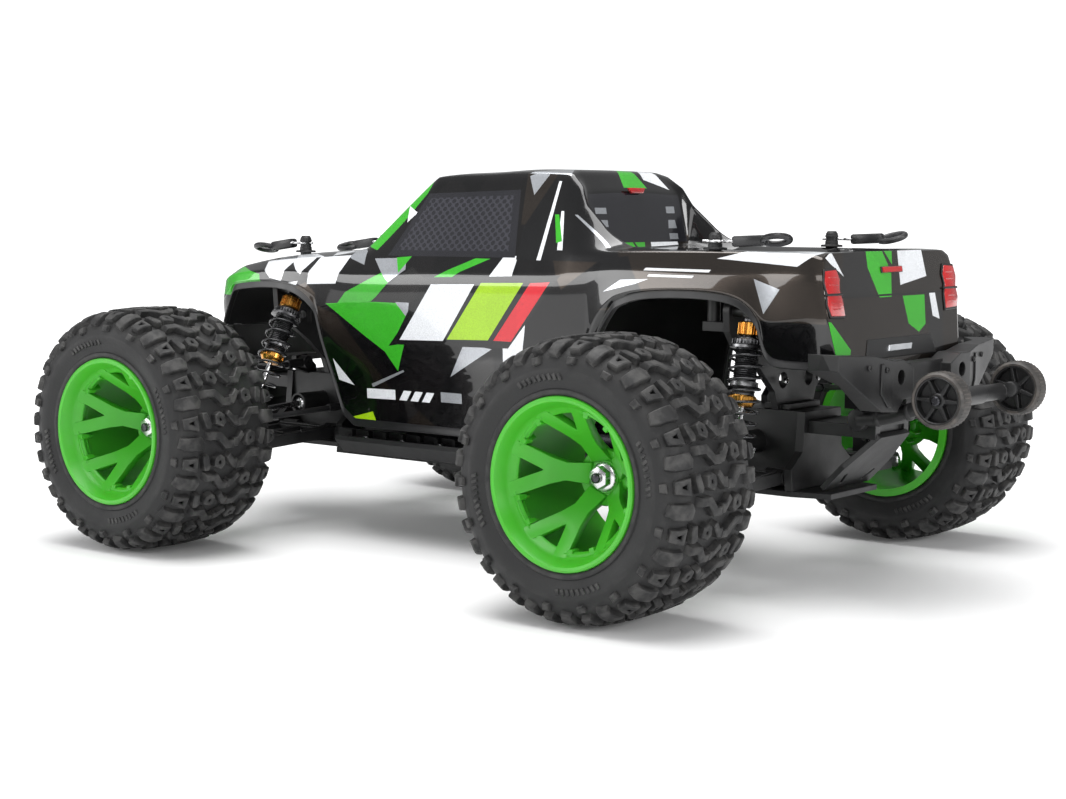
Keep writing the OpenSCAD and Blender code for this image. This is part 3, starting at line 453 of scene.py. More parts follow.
dustColour = (0.3, 0.28, 0.26)
finishes = {
    "tyreRubber": {"colour": (0.0145, 0.0145, 0.015), "second": (0.019, 0.019, 0.0195), "rough": (0.5, 0.68),
                   "grain": 700, "depth": 0.00012, "wear": (0.05, 0.049, 0.048), "dust": 0.04,
                   "shader": {"Specular IOR Level": 0.35}},
    "rimPlastic": {"colour": (0.055, 0.4, 0.02), "second": (0.06, 0.43, 0.022), "rough": (0.32, 0.4),
                   "grain": 1100, "depth": 0.00003,
                   "shader": {"Subsurface Weight": 0.12, "Subsurface Scale": 0.003}},
    "steel": {"colour": (0.62, 0.62, 0.63), "second": (0.72, 0.72, 0.73), "rough": (0.16, 0.3), "metal": 1.0,
              "grain": 1600, "depth": 0.00002, "dust": 0.02, "bevel": 0.0003},
    "nylonBlack": {"colour": (0.009, 0.009, 0.0095), "second": (0.012, 0.012, 0.0125), "rough": (0.38, 0.52),
                   "grain": 1300, "depth": 0.00005, "dust": 0.03, "bevel": 0.0006},
    "linkPlastic": {"colour": (0.011, 0.011, 0.012), "second": (0.017, 0.017, 0.018), "rough": (0.3, 0.46),
                    "grain": 1500, "depth": 0.00003, "dust": 0.04, "bevel": 0.0004},
    "damperBlack": {"colour": (0.012, 0.012, 0.013), "second": (0.022, 0.022, 0.024), "rough": (0.2, 0.34),
                    "metal": 0.7, "grain": 1800, "depth": 0.00002, "wear": (0.3, 0.3, 0.31)},
    "goldAnodised": {"colour": (0.62, 0.29, 0.05), "second": (0.72, 0.36, 0.08), "rough": (0.18, 0.32),
                     "metal": 1.0, "grain": 1800, "depth": 0.00002},
    "springBlack": {"colour": (0.015, 0.015, 0.017), "second": (0.03, 0.03, 0.033), "rough": (0.2, 0.35),
                    "metal": 0.4, "grain": 1400, "depth": 0.00002,
                    "shader": {"Coat Weight": 0.5, "Coat Roughness": 0.15}},
    "chassisNylon": {"colour": (0.01, 0.01, 0.011), "second": (0.014, 0.014, 0.015), "rough": (0.42, 0.58),
                     "grain": 1100, "depth": 0.00007, "dust": 0.04, "bevel": 0.0007},
    "motorCan": {"colour": (0.05, 0.05, 0.056), "second": (0.08, 0.08, 0.088), "rough": (0.22, 0.36),
                 "metal": 0.9, "grain": 1500, "depth": 0.00002, "dust": 0.04, "bevel": 0.0005},
    "electronics": {"colour": (0.014, 0.014, 0.016), "second": (0.03, 0.03, 0.033), "rough": (0.35, 0.5),
                    "grain": 1500, "depth": 0.00004, "dust": 0.05, "bevel": 0.0006},
    "batteryWrap": {"colour": (0.02, 0.035, 0.09), "second": (0.03, 0.05, 0.12), "rough": (0.22, 0.35),
                    "grain": 300, "depth": 0.0001, "dust": 0.05, "bevel": 0.0008,
                    "shader": {"Coat Weight": 0.4, "Coat Roughness": 0.1}},
    "bumperNylon": {"colour": (0.0115, 0.0115, 0.012), "second": (0.0145, 0.0145, 0.015),
                    "rough": (0.36, 0.46), "grain": 1200, "depth": 0.00006, "dust": 0.03, "bevel": 0.0009},
    "wheelieRubber": {"colour": (0.024, 0.023, 0.022), "second": (0.04, 0.036, 0.033), "rough": (0.48, 0.66),
                      "grain": 900, "depth": 0.00008, "wear": (0.09, 0.078, 0.07), "dust": 0.04},
    "clipRubber": {"colour": (0.012, 0.012, 0.013), "second": (0.022, 0.022, 0.024), "rough": (0.3, 0.46),
                   "grain": 1200, "depth": 0.00004, "dust": 0.05},
    "shellInside": {"colour": (0.012, 0.012, 0.013), "second": (0.017, 0.017, 0.018), "rough": (0.3, 0.42),
                    "grain": 600, "depth": 0.00003, "dust": 0.03},
    "lampRed": {"colour": (0.4, 0.006, 0.008), "second": (0.55, 0.014, 0.014), "rough": (0.14, 0.24),
                "grain": 420, "depth": 0.0001, "bevel": 0.0004,
                "shader": {"Coat Weight": 0.8, "Coat Roughness": 0.05}},
    "lampClear": {"colour": (0.6, 0.63, 0.66), "second": (0.75, 0.77, 0.8), "rough": (0.08, 0.16),
                  "metal": 0.4, "grain": 420, "depth": 0.0001, "bevel": 0.0004,
                  "shader": {"Coat Weight": 0.9}},
}


def opaque(colour):
    return (*colour, 1.0)


def startMaterial(name, constants):
    look = bpy.data.materials.new(name)
    look.use_nodes = True
    shader = look.node_tree.nodes["Principled BSDF"]
    for socket, value in constants.items():
        shader.inputs[socket].default_value = value
    return look, look.node_tree, shader


def makeFinish(name, values):
    look, tree, shader = startMaterial(name, values.get("shader", {}))
    where = addNode(tree, "ShaderNodeTexCoord").outputs["Object"]
    grain = placeGroup(tree, grainGroup, Vector=where, Scale=float(values["grain"]))
    colour = mixColour(tree, grain["Mottle"], opaque(values["colour"]), opaque(values["second"]))
    if "wear" in values:
        worn = placeGroup(tree, wearGroup, Vector=where)
        colour = mixColour(tree, worn["Mask"], colour, opaque(values["wear"]))
    if "dust" in values:
        film = placeGroup(tree, dustGroup, Vector=where, Amount=values["dust"])
        colour = mixColour(tree, film["Mask"], colour, opaque(dustColour))
    tree.links.new(colour, shader.inputs["Base Color"])
    low, high = values["rough"]
    tree.links.new(ranged(tree, grain["Mottle"], low, high), shader.inputs["Roughness"])
    shader.inputs["Metallic"].default_value = values.get("metal", 0.0)
    bump = addNode(tree, "ShaderNodeBump", {"Height": grain["Height"], "Strength": 0.6,
                                            "Distance": values["depth"]})
    if "bevel" in values:
        rounded = addNode(tree, "ShaderNodeBevel", {"Radius": values["bevel"]}, samples=4)
        tree.links.new(rounded.outputs["Normal"], bump.inputs["Normal"])
    tree.links.new(bump.outputs["Normal"], shader.inputs["Normal"])
    return look


looks = {name: makeFinish(name, values) for name, values in finishes.items()}
print("finishes made:", len(looks))


tyreShape = {
    "crown": 68.6, "flat": 27.0, "curve": 11.0, "drop": 0.0016, "lastTurn": 1.25,
    "pitches": 18, "lugHeight": 3.8, "shoulderHeight": 2.3, "lugRound": 0.45,
}
tyreSection = [  # radius and distance outboard, from the outer bead up to the middle of the crown
    (41.1, 32.8), (42.8, 34.3), (43.9, 35.9), (45.2, 36.5), (46.4, 36.3), (47.0, 35.6), (48.4, 35.8),
               (51.5, 37.0), (54.5, 37.6), (56.5, 37.7), (57.4, 37.3), (59.0, 36.9), (61.6, 35.9),
               (64.2, 33.6), (66.2, 30.6), (67.4, 27.0), (68.0, 19.0), (68.5, 9.0), (68.6, 0.0)]
tyreInside = [(64.0, 0.0), (63.5, 24.0), (60.5, 32.5), (50.0, 33.2), (43.5, 31.5), (41.1, 29.0)]


# A point of the tread: distance from the middle line, height over the carcass, distance round the crown
def treadSpot(along, height, around):
    shape = tyreShape
    reach = abs(along)
    if reach <= shape["flat"]:
        out, radius, tilt = reach, shape["crown"] - shape["drop"] * reach ** 2, 2 * shape["drop"] * reach
    else:
        start = 2 * shape["drop"] * shape["flat"]
        turn = min((reach - shape["flat"]) / shape["curve"], shape["lastTurn"])
        extra = reach - shape["flat"] - turn * shape["curve"]
        tilt = start + turn
        out = shape["flat"] + shape["curve"] * (math.sin(tilt) - math.sin(start)) + extra * math.cos(tilt)
        radius = shape["crown"] - shape["drop"] * shape["flat"] ** 2
        radius -= shape["curve"] * (math.cos(start) - math.cos(tilt)) + extra * math.sin(tilt)
    out += height * math.sin(tilt)
    radius += height * math.cos(tilt)
    angle = around / shape["crown"]
    return Vector((radius * math.sin(angle), math.copysign(out, along), radius * math.cos(angle)))


# A tread block on the flat tread: x round the tyre, y across it, with an optional hole of as many corners
def lug(bm, outline, height, hole=None, taper=0.86):
    part = bmesh.new()
    outer = openLine(part, [(x, y, 0) for x, y in outline], closed=True)
    if hole:
        inner = openLine(part, [(x, y, 0) for x, y in hole], closed=True)
        bmesh.ops.bridge_loops(part, edges=outer + inner)
    else:
        bmesh.ops.contextual_create(part, geom=outer)
    faces = list(part.faces)
    centre = sum((vert.co for vert in part.verts), Vector()) / len(part.verts)
    grown, topVerts = raiseFaces(part, faces, (0, 0, height))
    for vert in topVerts:
        vert.co.xy = centre.xy + (vert.co.xy - centre.xy) * taper
    bmesh.ops.delete(part, geom=[face for face in part.faces if all(abs(v.co.z) < 1e-6 for v in face.verts)],
                     context="FACES_ONLY")
    rims = [edge for edge in part.edges if all(abs(v.co.z - height) < 1e-6 for v in edge.verts)
            and edge.calc_face_angle(0) > 0.6]
    roundEdges(part, rims, tyreShape["lugRound"])
    addShape(bm, part)


# The blocks of one pitch; those of the far side are half a pitch on and turned about
def treadPitch():
    step = 2 * math.pi * tyreShape["crown"] / tyreShape["pitches"]
    high, low = tyreShape["lugHeight"], tyreShape["shoulderHeight"]
    bm = bmesh.new()
    half = bmesh.new()
    lug(half, [(0.2, 0.8), (5.0, 0.8), (5.0, 5.4), (11.2, 11.6), (11.2, 20.8), (6.4, 20.8), (6.4, 13.8),
               (0.2, 7.6)],
        high)
    lug(half, [(13.0, -2.4), (18.6, -2.4), (18.6, 0.6), (22.6, 4.6), (20.0, 7.2), (13.0, 0.8)], high)
    lug(half, [(12.6, 9.4), (15.6, 6.6), (20.2, 7.6), (22.4, 11.4), (20.4, 15.4), (15.0, 15.6)], high,
        hole=[(16.2, 10.8), (16.9, 10.3), (18.0, 10.6), (18.5, 11.4), (18.0, 12.2), (16.8, 12.2)])
    lug(half, [(12.4, 18.6), (15.0, 17.4), (22.6, 20.4), (22.2, 24.4), (19.0, 24.2), (12.4, 21.8)], high)
    lug(half, [(11.6, 26.0), (21.0, 26.4), (19.8, 35.0), (13.2, 34.6)], high * 0.82,
        hole=[(15.2, 28.9), (17.9, 29.0), (17.0, 31.4), (16.2, 31.4)])
    lug(half, [(0.2, 23.4), (5.0, 21.8), (9.0, 24.2), (8.6, 37.0), (2.0, 38.6), (0.2, 34.0)], high * 0.74)
    lug(half, [(13.4, 37.0), (19.2, 37.4), (18.8, 41.0), (14.0, 40.6)], low)
    other = half.copy()
    turnAbout = moved(step / 2, 0, 0) @ Matrix.Diagonal((1, -1, 1, 1))
    addShape(bm, half)
    addShape(bm, other, turnAbout)
    for cut in (28, 31, 34, 37):
        for side in (-1, 1):
            bmesh.ops.bisect_plane(bm, geom=whole(bm), dist=1e-5,
                                   plane_co=(0, side * cut, 0), plane_no=(0, 1, 0))
    for vert in bm.verts:
        vert.co = treadSpot(vert.co.y, vert.co.z - (0.3 if vert.co.z < 0.01 else 0), vert.co.x)
    return bm


def makeTyreMesh():
    bm = bmesh.new()
    mirrored = [(r, -y) for r, y in reversed(tyreSection[:-1])]
    inside = [(r, -y) for r, y in reversed(tyreInside[1:])] + tyreInside
    turned(bm, tyreSection + mirrored + inside, steps=108)
    bmesh.ops.recalc_face_normals(bm, faces=bm.faces)
    tread = treadPitch()
    count = tyreShape["pitches"]
    bmesh.ops.spin(tread, geom=whole(tread), cent=(0, 0, 0),
                   axis=(0, 1, 0), angle=2 * math.pi * (count - 1) / count, steps=count - 1,
                   use_duplicate=True)
    addShape(bm, tread)
    for group in range(4):  # raised moulding marks low on the sidewall, plain slanted bars
        for bar in range(9):
            mark = blockShape((-0.9, 36.6, 51.0), (0.9, 37.9, 54.4), 0.25)
            lean = moved(0, 0, 52.7) @ Matrix.Rotation(0.35, 4, "Y") @ moved(0, 0, -52.7)
            turn = spun(group * 90 + bar * 3.4)
            for side in (1, -1):
                copy = mark.copy()
                addShape(bm, copy, Matrix.Diagonal((1, side, 1, 1)) @ turn @ lean)
            mark.free()
    return bm


def wheelPiece(kind, source, corner, lookList, turn=0.0):
    bm = source.copy()
    if turn:
        bmesh.ops.rotate(bm, verts=bm.verts, cent=(0, 0, 0),
                         matrix=Matrix.Rotation(math.radians(turn), 3, "Y"))
    return makePiece(kind + "_" + corner + ".detail", bm, wheelFrame(corner), lookList, "wheel_" + corner,
                     [kind + "_" + corner], sharp=38)


tyreTurns = {"fl": 4.0, "fr": 9.0, "rl": 0.0, "rr": 13.0}
tyreMesh = makeTyreMesh()
for corner in corners:
    wheelPiece("tyre", tyreMesh, corner, [looks["tyreRubber"]], tyreTurns[corner])
print("tyres made, faces each:", len(tyreMesh.faces))
tyreMesh.free()


rimShape = {
    "spokes": 5, "coneStart": (9.0, -1.0), "coneEnd": (38.6, 30.8), "spokeDeep": 7.5, "round": 0.55,
}
rimSection = [  # the barrel and its outer lip
    (38.5, -37.0), (43.0, -37.0), (43.0, -34.8), (41.0, -34.6), (41.0, 33.0), (43.0, 33.4), (43.4, 35.4),
    (43.0, 36.5), (42.0, 37.0), (40.6, 36.7), (39.7, 35.4), (38.0, 31.0), (36.4, 27.6), (35.0, 26.8),
              (34.2, 25.2), (34.8, 23.2), (36.8, 20.6), (38.2, 17.0)]


def conePlace(point):
    radius = math.hypot(point.x, point.z)
    (r0, y0), (r1, y1) = rimShape["coneStart"], rimShape["coneEnd"]
    share = (min(radius, r1) - r0) / (r1 - r0)
    return point + Vector((0, y0 + (y1 - y0) * share, 0))


# One Y-shaped spoke, pointing up z, drawn flat and then laid on the cone of the dish
def spokeShape():
    right = [(5.6, 8.0), (4.7, 17.0), (6.8, 22.0), (15.8, 36.0), (8.4, 38.2), (0.0, 25.2)]
    outline = right + [(-x, z) for x, z in reversed(right[:-1])]
    bm = bmesh.new()
    face = outlineFace(bm, [(x, 0, z) for x, z in outline])
    raiseFaces(bm, [face], (0, -rimShape["spokeDeep"], 0))
    for vert in bm.verts:
        if vert.co.y < -1:
            vert.co.x *= 0.86
            vert.co.y -= max(0.0, 22 - vert.co.z) * 0.16
    for cut in (13, 17, 22, 27, 32):
        bmesh.ops.bisect_plane(bm, geom=whole(bm), dist=1e-5,
                               plane_co=(0, 0, cut), plane_no=(0, 0, 1))
    rims = bentEdges(bm, 0.8)
    roundEdges(bm, rims, rimShape["round"], 2)
    for vert in bm.verts:
        vert.co = conePlace(vert.co)
    return bm


# A pad on the inside of the barrel: (radius, y) corners, turned through an angle
def arcBlock(low, high, span, steps=6):
    bm = bmesh.new()
    (r0, y0), (r1, y1) = low, high
    face = outlineFace(bm, [(0, y0, r0), (0, y0, r1), (0, y1, r1), (0, y1, r0)])
    bmesh.ops.spin(bm, geom=[face] + list(face.edges) + list(face.verts), cent=(0, 0, 0), axis=(0, 1, 0),
                   angle=math.radians(span), steps=steps)
    bmesh.ops.recalc_face_normals(bm, faces=bm.faces)
    roundEdges(bm, bentEdges(bm, 0.8), 0.4)
    return bm


def makeRimMesh():
    bm = bmesh.new()
    turned(bm, rimSection, steps=120)
    turned(bm,
           [(2.6, -12.0), (9.3, -12.0), (10.2, -11.4), (11.8, -4.0), (14.4, -2.6), (14.8, -1.4), (14.2, -0.6),
                (11.6, -0.9), (10.4, -2.0), (8.6, -2.2), (8.2, -1.2), (2.6, -1.0)], steps=60)
    spoke = spokeShape()
    step = 360 / rimShape["spokes"]
    for index in range(rimShape["spokes"]):
        turn = spun(index * step)
        addShape(bm, spoke.copy(), turn)
        for start in (22.5, 44.5):  # castellated ledge between two spokes
            for part, depth in ((0.0, 33.2), (4.4, 34.8)):
                pad = arcBlock((depth, 21.0 - part), (39.0, 27.5 - part * 0.6), 5.0 - part * 0.5, 3)
                addShape(bm, pad, turn @ spun(start + part * 0.2))
        addShape(bm, arcBlock((35.0, 21.5), (38.6, 27.6), 34.0, 10),
                 turn @ spun(19.0))
    ringOfBlocks(bm, 10, (-0.7, -16.0, 9.0), (0.7, -7.0, 13.4), 0.3)  # ribs on the back of the hub
    spoke.free()
    return bm


rimTurns = {"fl": 4.0, "fr": 20.0, "rl": 11.0, "rr": 31.0}
rimMesh = makeRimMesh()
for corner in corners:
    wheelPiece("rim", rimMesh, corner, [looks["rimPlastic"]], rimTurns[corner])
rimMesh.free()

nutShape = {"face": -0.9, "flange": 7.2, "hex": 5.7, "serration": 6.8}


# Flanged wheel nut with a chamfered crown and its stub of thread, on top of the plain CAD nut
def makeNuts():
    bm = bmesh.new()
    face = nutShape["face"]
    turned(bm, [(0.2, face), (nutShape["flange"], face), (nutShape["flange"] + 0.25, face + 0.5),
                (nutShape["flange"], face + 1.1), (6.2, face + 1.7), (0.2, face + 1.7)], steps=48)
    grip = nutShape["serration"]  # serrated grip under the flange
    ringOfBlocks(bm, 24, (-0.25, face - 0.05, grip), (0.25, face + 0.8, grip + 0.8), 0.1)
    crown = rodShape(nutShape["hex"] + 0.15, 4.6, sides=6)
    tops = [edge for edge in crown.edges if all(v.co.z > 4 for v in edge.verts)]
    roundEdges(crown, tops, 0.6, 2)
    addShape(bm, crown, moved(0, face + 1.3, 0) @ spun(-90, "X"))
    thread = []
    for index in range(9):
        thread += [(2.55, face + 5.2 + index * 0.32), (2.25, face + 5.36 + index * 0.32)]
    stud = bmesh.new()
    turned(stud, [(0.1, face + 5.0)] + thread + [(2.1, face + 8.1), (1.9, face + 8.2), (0.1, face + 8.2)],
           steps=32)
    return bm, stud


nutMesh, studMesh = makeNuts()
for corner in corners:
    makePiece("wheelNut_" + corner, nutMesh.copy(), wheelFrame(corner), [looks["steel"]], "wheel_" + corner)
    makePiece("wheelStud_" + corner, studMesh.copy(), wheelFrame(corner), [looks["motorCan"]], "wheel_"
              + corner)
nutMesh.free()
studMesh.free()
print("rims and wheel nuts made")


paintColours = {
    "green": (0.04, 0.42, 0.02), "lime": (0.36, 0.62, 0.01), "white": (0.83, 0.85, 0.88),
                "silver": (0.46, 0.48, 0.51), "red": (0.68, 0.018, 0.03), "bronze": (0.05, 0.04, 0.033),
                "black": (0.0025, 0.0025, 0.003), "smoke": (0.022, 0.021, 0.021),
                "glass": (0.014, 0.014, 0.018), "net": (0.036, 0.036, 0.045), "facet": (0.005, 0.0045, 0.005),
}
metalShare = {"facet": 0.3, "bronze": 0.85, "silver": 0.55, "green": 0.12, "smoke": 0.5, "white": 0.1}

# Shards of the livery as (colour, corners), in millimetres from the middle of the wheelbase.
# Sides are drawn along the truck and up, later shards over earlier ones.
sideShards = [
    ("bronze", [(-96, 190), (-240, 190), (-240, 148), (-96, 150)]),
    ("black", [(-96, 178), (-114, 180), (-131, 156), (-96, 150)]),
    ("black", [(-206, 148), (-240, 148), (-240, 120), (-206, 120)]),
    ("bronze", [(-70, 160), (-96, 178), (-96, 186), (-60, 178)]),
    ("smoke", [(52, 108), (41, 90), (14, 70), (42, 70)]),
    ("bronze", [(36, 84), (14, 70), (52, 70)]),
    ("smoke", [(-6, 112), (-22, 120), (-30, 70), (-12, 70)]),
    ("bronze", [(118, 144), (102, 139), (49, 88), (58, 91), (117, 133)]),
    ("green", [(70, 173), (60, 160), (73, 148), (113, 145), (95, 153), (84, 165)]),
    ("green", [(113, 145.5), (53, 149), (44, 139), (62, 118), (78, 127)]),
    ("green", [(64, 121), (46, 124), (51, 107)]),
    ("silver", [(76, 174), (50, 175), (48, 168), (60, 160)]),
    ("green", [(58, 175), (46, 176), (53, 166)]),
    ("smoke", [(43, 170), (27, 161), (41, 148), (74, 148)]),
    ("silver", [(54, 148.5), (43, 148.5), (44, 139)]),
    ("green", [(29, 162), (14, 169), (-4, 176), (5, 168), (13, 163)]),
    ("green", [(-4, 176), (-15, 176), (5, 168)]),
    ("white", [(-17, 165), (-25, 178), (-35, 178), (-34, 165)]),
    ("white", [(116, 122), (114, 102), (100, 99), (91, 75), (73, 81), (78, 88)]),
    ("lime", [(92, 76), (73, 81), (68, 70), (91, 70)]),
    ("silver", [(0, 126), (-21, 124), (10, 106)]),
    ("white", [(-29, 127), (-45, 139), (-43, 119), (-30, 108)]),
    ("silver", [(73, 98), (47, 108), (46, 107), (72, 96)]),
    ("black", [(31, 164), (-69, 168), (-33, 125), (56, 123)]),
    ("white", [(26, 160), (-7, 161), (16, 127), (50, 126)]),
    ("silver", [(-7, 161), (4, 144), (26, 137), (16, 127)]),
    ("lime", [(-12, 162), (-43, 163), (-18, 129), (13, 128)]),
    ("red", [(-48, 163), (-62, 164), (-35, 129), (-22, 129)]),
    ("white", [(77, 95), (54, 95.5), (54, 89.5), (77, 89)]),
    ("white", [(47, 95.5), (41, 95.5), (45, 89.5), (51, 89.5)]),
    ("white", [(38, 95.5), (32, 95.5), (36, 89.5), (42, 89.5)]),
    ("white", [(29, 95.5), (23, 95.5), (27, 89.5), (33, 89.5)]),
    ("silver", [(18, 96.5), (2, 96.5), (2, 90.5), (18, 90.5)]),
    ("green", [(90, 182), (68, 210), (61, 197), (77, 179)]),
    ("green", [(68, 210), (40, 236), (48, 214), (61, 197)]),
    ("silver", [(98, 184), (85, 178), (83, 170), (106, 176)]),
    ("white", [(61, 206), (58.6, 196), (52, 202)]),
    ("glass", [(66, 176), (46.5, 213.5), (-24, 216), (-33, 177)]),
    ("net", [(60, 179.5), (43.5, 210.8), (-19.5, 212.8), (-27, 180.5)]),
    ("black", [(-32, 218), (-34, 176), (-110, 176), (-70, 232)]),
    ("bronze", [(-26, 226), (-52, 231), (-34, 196), (-31, 196)]),
    ("silver", [(-28, 224), (-46, 230), (-35, 213)]),
    # The two thin white strips on the black sail behind the cab are painted highlights. They stand in for the
    # shine on its glossy upright ribs.
    ("white", [(-51, 221), (-53, 221), (-52, 176), (-49, 176)]),
    ("white", [(-58, 204), (-60, 204), (-66, 182), (-62, 182)]),
    ("green", [(-54, 202), (-57, 202), (-64, 187), (-60, 186)]),
    ("silver", [(-68, 202), (-70, 202), (-98, 184), (-95, 184)]),
    # This white shard is partly print and partly painted reflection: the star-like highlight on the printed
    # white shard is drawn in with it.
    ("white", [(-172, 180), (-205, 188), (-238, 188), (-222, 177)]),
    ("silver", [(-197, 170), (-213, 165), (-204, 152)]),
    ("silver", [(-100, 160), (-112, 167), (-131, 168), (-122, 165)]),
    ("white", [(-128, 174), (-170, 174), (-169, 172.6), (-127, 172.6)]),
    ("white", [(-131, 170.6), (-160, 170.6), (-159, 169.4), (-130, 169.4)]),
    ("green", [(170, 162), (204, 168), (206, 148), (164, 147)]),
    ("white", [(160, 160), (172, 170), (126, 178), (136, 156)]),
    ("black", [(146, 170), (150, 156), (128, 160)]),
    ("white", [(124, 178), (96, 180), (103, 158), (127, 157)]),
    ("bronze", [(120, 152), (128, 158), (139, 154), (119, 142)]),
]
topShards = [  # along the truck and across it
    ("silver", [(92, 62), (206, 66), (206, -66), (92, -62)]),
    ("white", [(100, 60), (140, 70), (176, 30), (118, 14)]),
    ("white", [(96, -10), (150, -66), (200, -40), (150, -6)]),
    ("black", [(112, 70), (154, 44), (128, 32)]),
    ("black", [(206, 34), (166, 44), (140, 22), (206, 4)]),
    ("black", [(92, 22), (140, 4), (92, -24)]),
    ("black", [(160, -70), (146, -26), (182, -44)]),
    ("black", [(206, -4), (160, -14), (206, -40)]),
    ("bronze", [(128, -66), (104, -58), (120, -30)]),
    ("green", [(160, 76), (214, 76), (214, 46), (188, 50)]),
    ("green", [(160, -76), (214, -76), (214, -46), (188, -50)]),
    ("glass", [(46, 41), (90, 53), (90, -53), (46, -41)]),
    ("silver", [(-24, 50), (-60, 52), (-50, 34)]),
    ("green", [(-44, -4), (-66, -16), (-66, 8)]),
    ("white", [(-40, -20), (-66, -40), (-62, -18)]),
    ("white", [(-178, 78), (-238, 78), (-238, 62), (-206, 62)]),
    ("white", [(-178, -78), (-238, -78), (-238, -62), (-206, -62)]),
    ("green", [(-210, 33), (-240, 33), (-240, 0), (-222, 4)]),
    ("white", [(-216, -10), (-240, -10), (-240, -38), (-224, -36)]),
]
tailShards = [  # across the truck and up
    ("bronze", [(80, 190), (-80, 190), (-80, 118), (80, 118)]),
    ("smoke", [(50, 186), (26, 186), (22, 161), (58, 161)]),
    ("smoke", [(-38, 161), (-58, 161), (-50, 122), (-34, 122)]),
    ("white", [(76, 186), (65, 187), (53, 172), (66, 179)]),
    ("green", [(33, 188), (10, 188), (0, 173), (3, 160), (26, 160), (26, 176)]),
    ("green", [(9, 188), (-4, 188), (-2, 177)]),
    ("white", [(-10, 188), (-38, 188), (-41, 170), (-9, 166)]),
    ("green", [(-10, 160), (-36, 160), (-33, 144), (-24, 140), (-13, 145)]),
    ("white", [(20, 174), (18, 158), (3, 146), (7, 144)]),
    ("white", [(-42, 161), (-49, 161), (-51, 146), (-43, 148)]),
    ("black", [(58, 161.6), (-58, 161.6), (-58, 160.6), (58, 160.6)]),
    ("green", [(80, 150), (72, 149), (55, 134), (64, 118), (80, 118)]),
    ("green", [(-80, 140), (-80, 118), (-66, 118)]),
    ("glass", [(46, 218), (-46, 218), (-49, 186), (49, 186)]),
    ("green", [(19, 220.5), (-8, 220.5), (-7, 219), (18, 219)]),
    ("silver", [(42, 206), (31, 206), (31, 202.5), (42, 202.5)]),
    ("silver", [(42, 199), (31, 199), (31, 195), (42, 195)]),
    ("silver", [(42, 191.5), (29, 191.5), (29, 188.5), (42, 188.5)]),
    ("silver", [(-31, 207), (-40, 207), (-40, 203), (-31, 203)]),
    ("silver", [(-32, 199), (-39, 199), (-40, 194), (-31, 194)]),
    ("silver", [(-31, 191), (-40, 191), (-40, 187.5), (-31, 187.5)]),
]
noseShards = [
    ("green", [(76, 170), (40, 170), (52, 148), (76, 140)]),
    ("green", [(-76, 170), (-40, 170), (-52, 148), (-76, 140)]),
    ("silver", [(34, 170), (-20, 170), (-6, 152), (20, 156)]),
]


# 1 inside a convex outline on the flattened surface, whose third value is 1
def shardMask(tree, flat, outline):
    area = sum(a[0] * b[1] - b[0] * a[1] for a, b in zip(outline, outline[1:] + outline[:1]))
    points = outline if area > 0 else outline[::-1]
    inside = None
    for (ax, ay), (bx, by) in zip(points, points[1:] + points[:1]):
        length = math.hypot(bx - ax, by - ay)
        nx, ny = -(by - ay) / length, (bx - ax) / length
        dot = addNode(tree, "ShaderNodeVectorMath", {0: flat, 1: (nx, ny, -(ax * nx + ay * ny))},
                      operation="DOT_PRODUCT").outputs["Value"]
        inside = dot if inside is None else mathNode(tree, "MINIMUM", inside, dot)
    return mathNode(tree, "GREATER_THAN", inside, 0.0)


# A group that paints the shards seen along one axis over dark facets: its colour, and how metallic it is
def makeLivery(name, axes, shards):
    tree, given, result = startGroup(name, [("Vector", "Vector", None)],
                                     [("Colour", "Color"), ("Metal", "Float")])
    toCar = {"Vector": given["Vector"], "Location": (-carX / mm, 0, 0), "Scale": (1 / mm, 1 / mm, 1 / mm)}
    local = addNode(tree, "ShaderNodeMapping", toCar).outputs["Vector"]
    parts = addNode(tree, "ShaderNodeSeparateXYZ", {"Vector": local}).outputs
    flat = addNode(tree, "ShaderNodeCombineXYZ",
                   {"X": parts[axes[0]], "Y": parts[axes[1]], "Z": 1.0}).outputs[0]
    facets = placeGroup(tree, facetGroup, Vector=given["Vector"])
    patch = ranged(tree, facets["Patch"], 0, 1, 0.45, 0.55)
    colour = mixColour(tree, patch, opaque(paintColours["black"]), opaque(paintColours["facet"]))
    metal = metalShare["facet"]
    threads = placeGroup(tree, netGroup, Vector=flat)["Mask"]
    net = mixColour(tree, threads, opaque(paintColours["glass"]), opaque(paintColours["net"]))
    for shade, outline in shards:
        mask = shardMask(tree, flat, outline)
        colour = mixColour(tree, mask, colour, net if shade == "net" else opaque(paintColours[shade]))
        share = metalShare.get(shade, 0.0)
        level = mathNode(tree, "SUBTRACT", share, metal)
        metal = mathNode(tree, "MULTIPLY_ADD", mask, level, metal)
    facing = ranged(tree, facets["Patch"], 0.94, 1.04)
    sparkle = ranged(tree, facets["Flake"], 0.86, 1.14)
    level = mathNode(tree, "MULTIPLY", facing, sparkle)
    tint = addNode(tree, "ShaderNodeCombineColor", {"Red": level, "Green": level, "Blue": level}).outputs[0]
    tree.links.new(mixColour(tree, 1.0, colour, tint, "MULTIPLY"), result["Colour"])
    tree.links.new(metal, result["Metal"])
    return tree


